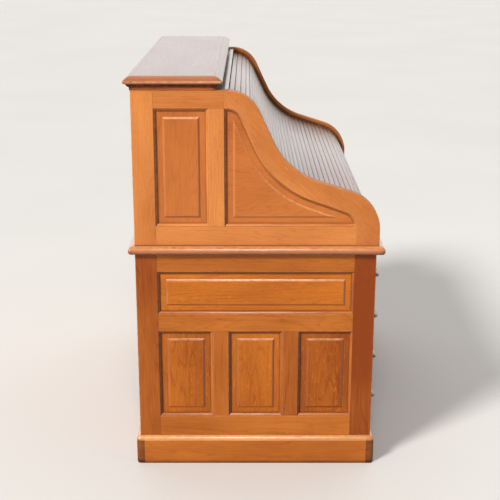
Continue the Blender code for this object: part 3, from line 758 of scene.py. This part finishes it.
BODIES = {
    node: body
    for body, nodes in frame["record"]["behaviour"]["bodies"].items()
    for node in nodes
}


def stand_in(piece, node, look, crease=50.0, more=()):
    """Builds a piece that stands for a CAD node, riding on that node's body."""
    piece.build(node, BODIES[node], [look[0], *more], look[1], (node,), crease)


def extents(node):
    """A CAD node's lowest and highest place along X, Y and Z."""
    low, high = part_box(node)
    return tuple(zip(low, high))


# The upper case ------------
def side_plane(side):
    """The outer face of a side: u is Y, v is Z and d goes in."""
    return Plane((side * CASE_HALF, 0.0, 0.0), Y, (-side, 0.0, 0.0))


def curved_rail(piece, plane, corner, foot, toe):
    """The rail that follows the S, sawn from straight-grained wood, down to the writing top.

    toe is how far along the S the rail's inner edge comes down to the foot of the opening.
    """
    low = WRITING_Z + GAP
    start = S_START_Y - corner
    end = where(lambda t: s_point(t)[1] > low, S_LENGTH, S_LENGTH + S_TAIL)
    toe_y = inner_point(toe)[0]
    stations = [start + (toe - start) * i / CURVE_STEPS for i in range(CURVE_STEPS + 1)]
    stations += [toe + (end - toe) * (i + 1) / 6 for i in range(6)]
    grain = Grain(plane.u * 0.72 + plane.v * 0.69, plane.v * 0.72 - plane.u * 0.69, -0.2)
    arris = 0.0022
    thick = UPPER_SIDE_THICK
    section = [
        (0.0, thick - arris * 0.4, -0.25), (0.0, arris + 0.0015, -0.35), (0.0, arris, 0.2),
        (arris * 0.3, arris * 0.3, 1.0), (arris, 0.0, 0.4), (arris + 0.004, 0.0, 0.0),
    ]
    rows = []
    for t in stations:
        row = [plane.at(*s_point(t, inset), depth) for inset, depth, _ in section]
        if t <= toe:
            inner = inner_point(t)
        else:
            inner = (toe_y, foot + (low - foot) * (t - toe) / (end - toe))
        row += [plane.at(*inner, 0.0), plane.at(*inner, thick)]
        row += [plane.at(*s_point(t, inset), thick) for inset in (0.018, 0.013, 0.008, arris * 0.4)]
        rows.append(row)
    # The inner face darkens towards the slats as painted shade, and the pale line on the outer
    # arris is rubbed wear and a painted highlight.
    wear_and_painted_light = [[wear_and_light_value for _, _, wear_and_light_value in section] + [0.3, -0.5, -1.3, -1.0, -0.45, -0.35]] * len(rows)
    piece.solid(rows, grain, wear_and_painted_light, flip=not plane.flip)


def upper_side(label, side):
    plane = side_plane(side)
    back, foot, head = CASE_BACK - STILE, WRITING_Z + UPPER_BOTTOM_RAIL, CASE_TOP - UPPER_TOP_RAIL
    muntin = back - BACK_PANEL_WIDTH
    corner = muntin - UPPER_MUNTIN
    low, top = WRITING_Z + GAP, CASE_TOP - GAP
    toe = where(lambda t: inner_point(t)[1] > foot, 0.0, S_LENGTH + S_TAIL)
    thick = (0.0, UPPER_SIDE_THICK)
    boards = [
        ((back, CASE_BACK), (low, top), thick, "v", "u", 0.3),
        ((corner, back), (head, top), thick, "u", "uUv", 0.0),
        ((corner, muntin), (foot, head), thick, "v", "vV", 0.2),
        ((inner_point(toe)[0], back), (low, foot), thick, "u", "uUV", 0.2),
    ]
    panels = {
        f"upper_panel_{label}_back": (rectangle(muntin, back, foot, head), "v", None),
        f"upper_panel_{label}_front": (curved_opening(corner, foot), "u", None),
    }
    piece = frame_of(plane, boards)
    curved_rail(piece, plane, corner, foot, toe)
    fill_frame(piece, plane, f"upper_side_frame_{label}", panels,
               (UPPER_FRAME, UPPER_PANEL, OAK["upper_edge"], OAK["upper_bevel"]))


def panelled_back(node, bottom_rail, look):
    """A framed back of boards, with a sunk panel in each bay, all one node's piece."""
    (x0, x1), (y0, y1), (z0, z1) = extents(node)
    plane = Plane((0.0, y1, 0.0), -X, -Y)
    thick = (0.0, y1 - y0)
    pitch = (x1 - x0 - BACK_STILE) / BACK_BAYS
    low, high = z0 + bottom_rail, z1 - BACK_STILE
    piece = Piece()
    plane.board(piece, (x0, x1), (z0, low), thick, joints="V")
    plane.board(piece, (x0, x1), (high, z1), thick, joints="v")
    for i in range(BACK_BAYS + 1):
        left = x0 + i * pitch
        plane.board(piece, (left, left + BACK_STILE), (low, high), thick, "v", joints="uUvV")
    for i in range(BACK_BAYS):
        left = x0 + BACK_STILE + i * pitch
        opening = rectangle(left, left + pitch - BACK_STILE, low, high)
        sticking(piece, plane, opening)
        steps = [(0.0, thick[1] - 0.001)]
        steps += [(inset, PANEL_SUNK) for inset in (0.0, STICKING, STICKING + 0.004)]
        rows = [plane.ring(opening(inset), depth) for inset, depth in steps]
        piece.solid(rows, Grain(Z, X), [0.0, 0.0, -1.0, 0.0], flip=plane.flip)
    stand_in(piece, node, look)


def cornice():
    """The cove between the case and the top board, darkened with painted shade where the overhang
    shades it.
    """
    (x0, x1), (y0, y1), (z0, z1) = extents("cornice")
    high = z1 - z0
    # The cove's rows and, through the corners' darkening, its mitred ends carry painted shade; the
    # upright fillet below the cove stays light.
    profile = [
        (0.0, 0.0, -1.0), (0.0012, high * 0.16, -1.0), (0.0045, high * 0.36, -1.0),
        (0.0085, high * 0.52, -0.9), (0.01, high * 0.6, -0.5), (0.0102, high * 0.66, 0.1),
        (0.0102, high * 0.93, 0.1), (0.0108, high, -0.3),
    ]
    piece = Piece()
    moulding(piece, (x0, x1), (y0, y1), z1, profile, 0.001, 0.0,
             corner_dust_and_shade=-1.0, fill=(0.012, 0.045))
    grain = Grain(X, Y, 0.0)
    for drop, flip in ((0.0, False), (high, True)):
        inset = 0.0 if drop == 0.0 else 0.0108
        rings = [level_ring((x0, x1), (y0, y1), reach, z1 - drop) for reach in (inset, 0.042)]
        piece.rows(rings, grain, [0.0, 0.0], closed=True, flip=flip)
    stand_in(piece, "cornice", (OAK["cornice"], "upper_oak"))


def slab(node, profile, radius, boards, tone, slots=(0, 0, 0, 0)):
    """A top of glued boards inside a moulding that runs round all four edges."""
    (x0, x1), (y0, y1), (z0, z1) = extents(node)
    piece = Piece()
    moulding(piece, (x0, x1), (y0, y1), z1, profile, radius, tone=tone, slots=slots)
    flat, under = profile[0][0], profile[-1][0]
    width = (y1 - y0 - 2 * flat) / boards
    for i in range(boards):
        near = y0 + flat + i * width
        piece.board((x0 + flat, near, z0 + 0.002), (x1 - flat, near + width, z1), X, Y,
                    joints="xXyY", tone=tone, slot=1)
    grain = Grain(X, Y, tone)
    rings = [level_ring((x0, x1), (y0, y1), inset, z0) for inset in (under, flat + 0.004)]
    piece.rows(rings, grain, [0.0, 0.0], closed=True, flip=True)
    stand_in(piece, node, (OAK["edge"], "upper_oak"), more=(OAK["top"],))


def top_board():
    # The last rows, on the underside behind the nose, are darkened as painted shade.
    profile = [
        (0.023, 0.0, 0.1), (0.0225, 0.0004, 0.3), (0.019, 0.0016, 0.2), (0.014, 0.004, 0.0),
        (0.009, 0.0078, 0.0), (0.005, 0.0112, 0.0), (0.0038, 0.0122, 0.0), (0.0018, 0.0138, 0.5),
        (0.0004, 0.016, 1.0), (0.0, 0.0178, 1.0), (0.0004, 0.02, 0.5), (0.0018, 0.0222, 0.0),
        (0.005, 0.0238, -0.6), (0.01, 0.024, -0.8),
    ]
    slab("top_board", profile, 0.004, 1, -1.5, (1, 0, 1, 0))


def writing_top():
    # The lower rows, under the nose, are darkened as painted shade.
    profile = [
        (0.02, 0.0, 0.0), (0.016, 0.0001, 0.4), (0.012, 0.0008, 0.7), (0.008, 0.0026, 0.9),
        (0.0045, 0.0056, 0.8), (0.0018, 0.0096, 0.6), (0.0003, 0.014, -0.1), (0.0, 0.017, -0.4),
        (0.0006, 0.0205, -0.6), (0.0024, 0.0235, -0.8), (0.005, 0.026, -1.0), (0.01, 0.028, -1.0),
    ]
    slab("writing_top", profile, 0.009, 3, 0.0)


def front_rail():
    """The fixed strip under the front of the top board, with a quirk where it meets the board,
    darkened with painted shadow.
    """
    (x0, x1), (y0, y1), (z0, z1) = extents("front_rail")
    quirk = y0 + 0.016
    profile = [
        (y1, z0), (y1, z1), (quirk + 0.005, z1), (quirk + 0.0045, z0 + 0.001),
        (quirk + 0.0008, z0 + 0.001), (quirk, z1 - 0.0004), (quirk - 0.0015, z1), (y0 + 0.003, z1),
        (y0 + 0.001, z1 - 0.0006), (y0, z1 - 0.002), (y0, z0 + 0.001), (y0 + 0.001, z0),
    ]
    # Painted shadow: the quirk under the top board's edge, and the foot of the front edge over the
    # slats, are darkened.
    wear_and_painted_light = [0.0, -0.5, -1.0, -1.0, -1.0, -0.3, 0.4, 0.1, 0.5, 0.2, -0.9, -1.0]
    piece = Piece()
    grain = Grain(X, Y, 0.6)
    rows = [[(x, y, z) for y, z in profile] for x in (x0, x0 + 0.01, x1 - 0.01, x1)]
    piece.solid(rows, grain, [wear_and_painted_light] * 4, flip=True)
    stand_in(piece, "front_rail", SLAT_LOOK)


# The tambour ------------
CANVAS_PATH = [
    (None, S_FOOT[1] - WRITING_Z - GAP),
    (NOSE_RADIUS - CANVAS_INSET, -(math.pi / 2 - SHALLOW)),
    (None, SHALLOW_RUN),
    (HOLLOW_RADIUS + CANVAS_INSET, STEEP - SHALLOW),
    (None, STEEP_RUN),
    (TOP_RADIUS - CANVAS_INSET, -STEEP),
    (None, 0.1),
]


def canvas_point(distance):
    start = (UPPER_FRONT + CANVAS_INSET, WRITING_Z + GAP)
    return Vector((0.0, *walk(start, math.pi / 2, CANVAS_PATH, distance)[0]))


def strip(piece, first, last, section, grain, wear_and_painted_light):
    """A slat or rail across the desk: its (run, rise) section on the canvas line."""
    along = (last - first).normalized()
    out = Vector((0.0, -along.z, along.y))
    middle = Vector([sum(part) / len(section) for part in zip(*section)])
    rows = []
    inner = SLAT_HALF - SLAT_END
    for x, shrink in ((-SLAT_HALF, 0.9), (-inner, 1.0), (inner, 1.0), (SLAT_HALF, 0.9)):
        row = []
        for run, rise in section:
            place = middle + (Vector((run, rise)) - middle) * shrink
            row.append(first + along * place.x + out * place.y + Vector((x, 0.0, 0.0)))
        rows.append(row)
    piece.solid(rows, grain, [wear_and_painted_light] * 4)


def tambour_section(number):
    """Four slats, each with its own grain, on their piece of canvas."""
    piece = Piece()
    first = RAIL_HEIGHT + (number - 1) * SLATS_PER_SECTION * SLAT_PITCH
    crown = SLAT_THICK - 0.0002
    points = [canvas_point(first + i * SLAT_PITCH) for i in range(-1, SLATS_PER_SECTION + 2)]
    turns = [math.atan2((b - a).z, (b - a).y) for a, b in zip(points, points[1:])]
    spread = [max(0.0, crown * math.tan((a - b) / 2) * 0.75) for a, b in zip(turns, turns[1:])]
    spread[0] = spread[-1] = 0.0
    wear_and_painted_light = [0.0, 0.0, -0.7, -0.25, 0.25, 0.0, 0.0, 0.25, -0.25, -0.7]
    for i in range(SLATS_PER_SECTION):
        low = canvas_point(first + i * SLAT_PITCH)
        high = canvas_point(first + (i + 1) * SLAT_PITCH)
        grain = Grain(X, (0.0, 0.8, 0.6))
        before, after = -spread[i], SLAT_PITCH + spread[i + 1]
        section = [
            (0.0002, 0.0), (SLAT_PITCH - 0.0002, 0.0),
            (after - 0.0003, crown * 0.8), (after - 0.0011, crown * 0.93),
            (after - 0.0028, crown * 0.985), (SLAT_PITCH * 0.62, crown),
            (SLAT_PITCH * 0.38, crown), (before + 0.0028, crown * 0.985),
            (before + 0.0011, crown * 0.93), (before + 0.0003, crown * 0.8),
        ]
        strip(piece, low, high, section, grain, wear_and_painted_light)
    weave = Grain(X, Z, 0.0)
    reach = SLAT_HALF - 0.004
    lines = [canvas_point(first + SLATS_PER_SECTION * SLAT_PITCH * i / 8) for i in range(9)]
    rows = [[point + Vector((x, 0.0, 0.0)) for x in (-reach, reach)] for point in lines]
    piece.rows(rows, weave, [0.0] * 9, slot=1)
    stand_in(piece, f"tambour_section_{number}", SLAT_LOOK, more=(CANVAS,))


def lift_rail():
    """The bottom rail of the tambour, with a finger groove along its face."""
    high, thick = RAIL_HEIGHT, RAIL_THICK - 0.0002
    first, last = canvas_point(0.0), canvas_point(high)
    section = [
        (0.0003, 0.0), (high - 0.0003, 0.0), (high - 0.001, 0.01), (high - 0.0022, thick - 0.0015),
        (high - 0.004, thick), (high - 0.009, thick), (high - 0.0105, thick - 0.0022),
        (high - 0.013, thick - 0.003), (high - 0.0155, thick - 0.0022), (high - 0.017, thick),
        (0.0035, thick), (0.0014, thick - 0.001), (0.0003, thick - 0.0035),
    ]
    wear_and_painted_light = [0.0, 0.0, -1.0, 0.4, 0.9, 0.6, -0.3, -0.9, -0.3, 0.6, 0.5, 0.9, 0.2]
    piece = Piece()
    strip(piece, first, last, section, Grain(X, Z, 0.2), wear_and_painted_light)
    stand_in(piece, "lift_rail", UPPER_FRAME)


def turned(piece, centre, profile, grain, slot, steps=20):
    """A turned shape that stands out towards -Y: (reach, radius, wear) points."""
    turns = [math.tau * i / steps for i in range(steps)]
    ways = [(math.cos(turn), math.sin(turn)) for turn in turns]
    rows = [
        [centre + Vector((x * radius, -reach, z * radius)) for x, z in ways]
        for reach, radius, _ in profile
    ]
    piece.solid(rows, grain, [wear_and_light_value for _, _, wear_and_light_value in profile], slot=slot)


def disc(piece, centre, radius, rise, grain, wear_and_painted_light, slot=0):
    """A low domed disc that faces -Y."""
    shape = ((0.0, 1.0), (0.6, 1.0), (1.0, 0.82), (1.0, 0.02))
    profile = [(rise * height, radius * share, wear_and_light_value) for (height, share), wear_and_light_value in zip(shape, wear_and_painted_light)]
    turned(piece, centre, profile, grain, slot, 16)


def lock_plate():
    """A brass plate with its screws and a keyhole."""
    (x0, x1), (y0, y1), (z0, z1) = extents("lock_plate")
    piece = Piece()
    piece.board((x0, y0 + 0.0004, z0), (x1, y1, z1), X, Z, ease=0.0004, tone=0.0, band=0.0012)
    grain = Grain(X, Z, 0.0)
    middle = (z0 + z1) / 2
    for x in (x0 + 0.004, x1 - 0.004):
        disc(piece, Vector((x, y0 + 0.0004, middle)), 0.0017, 0.0004, grain, [-1.0, 0.4, 0.8, 0.2])
    for z, radius in ((middle + 0.002, 0.0022), (middle - 0.001, 0.0013), (middle - 0.003, 0.0015)):
        disc(piece, Vector((0.0, y0 + 0.00045, z)), radius, 0.0002, grain, [-1.0] * 4, slot=1)
    stand_in(piece, "lock_plate", BRASS, more=(OAK["pull"],))


# The pigeonholes ------------
def valance(piece, x, top, y):
    """An arched apron at the head of a pigeonhole."""
    deep, shallow, thick = 0.02, 0.007, 0.005
    steps = 12
    grain = Grain(X, Z)
    rows = []
    for i in range(steps + 1):
        share = i / steps
        px = x[0] + (x[1] - x[0]) * share
        drop = shallow + (deep - shallow) * abs(2 * share - 1) ** 2.4
        rows.append([(px, y, top), (px, y, top - drop + 0.0006), (px, y + 0.0006, top - drop),
                     (px, y + thick, top - drop), (px, y + thick, top)])
    piece.solid(rows, grain, [[0.0, 0.8, 0.8, 0.2, 0.0]] * (steps + 1), flip=True)


def pigeonholes():
    board, bays, drawer_height, shelf = 0.008, 6, 0.075, 0.925
    (x0, x1), (y0, y1), (z0, z1) = extents("pigeonhole_case")
    pitch = (x1 - x0 - board) / bays
    floor, ceiling = z0 + board, z1 - board
    piece = Piece()
    whole = (y0, y1 - board)
    piece.board((x0, y1 - board, z0), (x1, y1, z1), X, Z, joints="y", ease=THIN_EASE)
    for low, high in ((z0, floor), (ceiling, z1)):
        piece.board((x0, whole[0], low), (x1, whole[1], high), X, Y, joints="Y", ease=THIN_EASE)
    for i in range(bays + 1):
        left = x0 + i * pitch
        piece.board((left, whole[0] + 0.0005, floor), (left + board, whole[1], ceiling), Z, Y,
                    joints="zZY", ease=THIN_EASE)
    for i in range(bays):
        left, right = x0 + board + i * pitch, x0 + (i + 1) * pitch
        level = (floor + drawer_height, shelf, None)[min(i, bays - 1 - i, 2)]
        if level:
            piece.board((left, whole[0] + 0.001, level), (right, whole[1], level + board), X, Y,
                        joints="xXY", ease=THIN_EASE)
        valance(piece, (left, right), ceiling, y0 + 0.002)
    stand_in(piece, "pigeonhole_case", (OAK["inside"], "interior_oak"))


# Drawers ------------
def tray(node, front, side, bottom, low_sides, look, knob=()):
    """A drawer: its show front, with a knob or a beaded edge, and a box behind it.

    low_sides is how far the box's rim lies below the front's.
    """
    (x0, x1), (y0, y1), (z0, z1) = extents(node)
    piece = Piece()
    piece.board((x0, y0, z0), (x1, y0 + front, z1), X, Z, ease=EASE if knob else BEAD, band=0.004)
    rim = z1 - low_sides
    for low, high in ((x0, x0 + side), (x1 - side, x1)):
        piece.board((low, y0 + front, z0), (high, y1, rim), Y, Z, joints="y", slot=1)
    piece.board((x0 + side, y1 - side, z0), (x1 - side, y1, rim), X, Z, joints="xX", slot=1)
    piece.board((x0 + side, y0 + front, z0), (x1 - side, y1 - side, z0 + bottom), X, Y,
                joints="xXyY", slot=1)
    if knob:
        grain = Grain(X, Z)
        turned(piece, Vector(((x0 + x1) / 2, y0, (z0 + z1) / 2)), knob, grain, 2)
    stand_in(piece, node, look, more=(OAK["inside"], OAK["pull"]))


def pull(node):
    """A carved grip: a sloping top, a blunt nose, and a hollow for the fingers underneath."""
    (x0, x1), (y0, y1), (z0, z1) = extents(node)
    middle, height = (x0 + x1) / 2, z1 - z0
    half, reach = (x1 - x0) / 2, y1 - y0
    grain = Grain(X, Z)
    section = [
        (0.0, 0.0, -0.9), (0.0, 1.0, -0.6), (0.1, 0.985, 0.6), (0.3, 0.86, 0.2),
        (0.55, 0.66, 0.2), (0.78, 0.46, 0.3), (0.93, 0.32, 0.7), (0.99, 0.22, 1.0),
        (1.0, 0.12, 1.0), (0.95, 0.04, 0.8), (0.84, 0.02, 0.3), (0.7, 0.1, 0.0),
        (0.5, 0.18, -0.4), (0.28, 0.16, -0.7), (0.12, 0.06, -0.9),
    ]
    steps = 22
    rows, wear_and_painted_light = [], []
    for i in range(steps + 1):
        share = -math.cos(math.pi * i / steps)
        bulk = max(1.0 - abs(share) ** 5.0, 0.0) ** 0.5
        row = []
        for out, up, _ in section:
            rise = 0.5 + (up - 0.5) * (0.62 + 0.38 * bulk)
            y = y1 - reach * out * (0.16 + 0.84 * bulk)
            row.append((middle + half * share, y, z0 + height * rise))
        rows.append(row)
        wear_and_painted_light.append([wear_and_light_value for _, _, wear_and_light_value in section])
    piece = Piece()
    piece.solid(rows, grain, wear_and_painted_light)
    stand_in(piece, node, (OAK["pull"], "pull_oak"), crease=60.0)


def drawer_carcass(node, drawers):
    """Shelves between thin liners, one bay for each drawer."""
    (x0, x1), (y0, y1), (z0, z1) = extents(node)
    liner, shelf = 0.01, 0.018
    piece = Piece()
    for low, high in ((x0, x0 + liner), (x1 - liner, x1)):
        piece.board((low, y0, z0), (high, y1, z1), Z, Y)
    edges = [extents(drawer)[2] for drawer in drawers]
    levels = [(high + 0.0015, high + 0.0015 + shelf) for _, high in edges]
    levels.append((z0, edges[-1][0] - GAP))
    for low, high in levels:
        piece.board((x0 + liner, y0, low), (x1 - liner, y1, high), X, Y, joints="xX")
    for near, far in ((y0, y0 + 0.02), (y1 - 0.02, y1)):
        piece.board((x0 + liner, near, levels[0][1]), (x1 - liner, far, z1), X, Z, joints="xXz")
    stand_in(piece, node, LOWER_FRAME)


def centre_drawer_frame():
    (x0, x1), (y0, y1), (z0, z1) = extents("centre_drawer_frame")
    side, foot, back = 0.01, 0.012, 0.018
    piece = Piece()
    for low, high in ((x0, x0 + side), (x1 - side, x1)):
        piece.board((low, y0, z0), (high, y1, z1), Y, Z)
    piece.board((x0 + side, y0, z0), (x1 - side, y1, z0 + foot), X, Y, joints="xX")
    piece.board((x0 + side, y1 - back, z0 + foot), (x1 - side, y1, z1), X, Z, joints="xXz")
    stand_in(piece, "centre_drawer_frame", LOWER_FRAME)


# The lower case ------------
def lower_side(label, side):
    plane = side_plane(side)
    back, front = CASE_BACK - STILE, LOWER_FRONT + STILE
    low, high = PLINTH_TOP + GAP, LOWER_TOP - GAP
    top = LOWER_TOP - LOWER_TOP_RAIL
    middle = top - WIDE_PANEL_HEIGHT - MIDDLE_RAIL
    foot = PLINTH_TOP + BOTTOM_RAIL
    width = (back - front - 2 * LOWER_MUNTIN) / 3
    thick = (0.0, SIDE_THICK)
    # The tones are partly the boards' own and partly painted light: the boards towards the front
    # are darker as painted shade, the light falling from the back, and the bottom rail is lighter.
    boards = [
        ((back, CASE_BACK), (low, high), thick, "v", "u", -0.5),
        ((LOWER_FRONT, front), (low, high), thick, "v", "U", -1.9),
        ((front, back), (top, high), thick, "u", "uUV", 0.3),
        ((front, back), (middle, middle + MIDDLE_RAIL), thick, "u", "uU", -0.3),
        ((front, back), (low, foot), thick, "u", "uUv", 0.9),
    ]
    wide = rectangle(front, back, top - WIDE_PANEL_HEIGHT, top)
    panels = {f"lower_panel_{label}_top": (wide, "u", 0.6)}
    uprights = (("front", -1.6, None), ("middle", 0.0, -1.1), ("back", -0.3, 0.3))
    for i, (place, tone, muntin_tone) in enumerate(uprights):
        near = front + i * (width + LOWER_MUNTIN)
        opening = rectangle(near, near + width, foot, middle)
        panels[f"lower_panel_{label}_{place}"] = (opening, "v", tone)
        if i:
            muntin = (near - LOWER_MUNTIN, near)
            boards.append((muntin, (foot, middle), thick, "v", "vV", muntin_tone))
    fill_frame(frame_of(plane, boards), plane, f"lower_side_frame_{label}", panels,
               (LOWER_FRAME, LOWER_PANEL, OAK["lower_edge"], OAK["lower_bevel"]))


def inner_side(label):
    """The kneehole side of a pedestal: three wide boards, glued edge to edge."""
    node = "inner_side_" + label
    (x0, x1), (y0, y1), (z0, z1) = extents(node)
    piece = Piece()
    width = (y1 - y0) / 3
    for i in range(3):
        near = y0 + i * width
        joints = ("Y", "yY", "y")[i]
        piece.board((x0, near, z0), (x1, near + width, z1), Z, Y, joints=joints)
    stand_in(piece, node, LOWER_FRAME)


def plinth(label):
    """The base ring: a rounded top edge, and dark rounded blocks at its corners."""
    node = "plinth_" + label
    (x0, x1), (y0, y1), (z0, z1) = extents(node)
    thick = 0.02
    # The rounded top rows carry a painted highlight, in their high wear values and their lighter
    # oak; the rows near the floor are darker.
    profile = [
        (thick, 0.0, 0.0), (0.012, 0.0, 0.3), (0.0095, 0.0006, 0.9), (0.0062, 0.0028, 0.9),
        (0.003, 0.0062, 0.9), (0.001, 0.01, 0.5), (0.0, 0.015, 0.0), (0.0, 0.086, 0.0),
        (0.0, 0.096, -0.7), (0.0015, z1 - z0, -1.0), (thick, z1 - z0, -1.0),
    ]
    piece = Piece()
    blocks = {"corner_dust_and_shade": -0.7, "fill": (0.013, 0.0138, 0.03), "fade": (1.0, 0.0, 0.0)}
    for part, slot in ((profile[:7], 1), (profile[6:], 0)):
        moulding(piece, (x0, x1), (y0, y1), z1, part, 0.014, slots=(slot,) * 4, **blocks)
    grain = Grain(X, Z)
    rows = [level_ring((x0, x1), (y0, y1), thick, z) for z in (z1, z0)]
    piece.rows(rows, grain, [0.0, -1.0], closed=True)
    stand_in(piece, node, LOWER_FRAME, more=(OAK["plinth_painted_highlight"],))


def desk():
    for label, side in (("left", -1), ("right", 1)):
        upper_side(label, side)
        lower_side(label, side)
        plinth(label)
        inner_side(label)
        drawers = [f"drawer_{label}_{number}" for number in range(1, 5)]
        drawer_carcass("drawer_carcass_" + label, drawers)
        for drawer in drawers:
            tray(drawer, *LARGE_DRAWER, LOWER_PANEL)
            pull(drawer.replace("drawer", "pull"))
        tray("stationery_drawer_" + label, *SMALL_DRAWER, UPPER_FRAME, KNOB)
    top_board()
    cornice()
    front_rail()
    writing_top()
    for number in range(1, SECTIONS + 1):
        tambour_section(number)
    lift_rail()
    lock_plate()
    pigeonholes()
    tray("centre_drawer", *LARGE_DRAWER, LOWER_PANEL)
    centre_drawer_frame()
    panelled_back("lower_back", 0.09, LOWER_FRAME)
    panelled_back("upper_back", BACK_STILE, UPPER_FRAME)


# The room ------------
def add_lamp(name, kind, power, place, way):
    """A lamp at a place, that shines one way."""
    lamp = bpy.data.lights.new(name, kind)
    lamp.energy = power
    obj = bpy.data.objects.new(name, lamp)
    obj.location = place
    obj.rotation_euler = way.to_track_quat("-Z", "Y").to_euler()
    bpy.context.scene.collection.objects.link(obj)
    return lamp


def studio():
    """A pale floor out to the horizon, a soft sky, and two soft lamps on the photographed side."""
    scene = bpy.context.scene
    mesh = bpy.data.meshes.new("floor")
    signs = ((-1, -1), (1, -1), (1, 1), (-1, 1))
    corners = [(sx * FLOOR_REACH, sy * FLOOR_REACH, 0.0) for sx, sy in signs]
    mesh.from_pydata(corners, [], [(0, 1, 2, 3)])
    mesh.materials.append(floor_finish("floor_finish"))
    ground = bpy.data.objects.new("floor", mesh)
    scene.collection.objects.link(ground)

    world = bpy.data.worlds.new("studio")
    world.use_nodes = True
    tree = world.node_tree
    seen = tree.nodes.new("ShaderNodeTexCoord").outputs["Generated"]
    bright = tree.nodes.new("ShaderNodeVectorMath")
    bright.operation = "DOT_PRODUCT"
    bright.inputs[1].default_value = BRIGHT_SIDE
    tree.links.new(seen, bright.inputs[0])
    level = tree.nodes.new("ShaderNodeMapRange")
    level.interpolation_type = "SMOOTHSTEP"
    for socket, value in enumerate((*SKY_SPAN, SKY_LOW, SKY_HIGH), 1):
        level.inputs[socket].default_value = value
    tree.links.new(bright.outputs["Value"], level.inputs["Value"])
    sky = tree.nodes["Background"]
    sky.inputs["Color"].default_value = SKY_COLOUR
    tree.links.new(level.outputs["Result"], sky.inputs["Strength"])
    scene.world = world

    lamp = add_lamp("soft_lamp", "SUN", LAMP_STRENGTH, (0.0, 0.0, 0.0), -Vector(LAMP_SIDE))
    lamp.angle = LAMP_ANGLE
    lamp.color = LAMP_COLOUR
    way = Vector(HIGH_LAMP_AIM) - Vector(HIGH_LAMP_AT)
    lamp = add_lamp("high_lamp", "AREA", HIGH_LAMP_POWER, HIGH_LAMP_AT, way)
    lamp.shape = "DISK"
    lamp.size = HIGH_LAMP_SIZE
    scene.view_settings.view_transform = "Standard"


def camera():
    """The camera at the left end of the desk, looking down along its length."""
    lens = bpy.data.cameras.new("camera")
    lens.lens = CAMERA_LENS
    lens.sensor_width = CAMERA_SENSOR
    forward = Vector((
        math.cos(CAMERA_DOWN) * math.cos(CAMERA_YAW),
        math.cos(CAMERA_DOWN) * math.sin(CAMERA_YAW),
        -math.sin(CAMERA_DOWN),
    ))
    level = Vector((math.sin(CAMERA_YAW), -math.cos(CAMERA_YAW), 0.0))
    raised = level.cross(forward)
    right = level * math.cos(CAMERA_ROLL) + raised * math.sin(CAMERA_ROLL)
    up = raised * math.cos(CAMERA_ROLL) - level * math.sin(CAMERA_ROLL)
    turn = Matrix((right, up, -forward)).transposed()
    obj = bpy.data.objects.new("camera", lens)
    obj.matrix_world = Matrix.Translation(CAMERA_AT) @ turn.to_4x4()
    bpy.context.scene.collection.objects.link(obj)
    bpy.context.scene.camera = obj


desk()
studio()
camera()
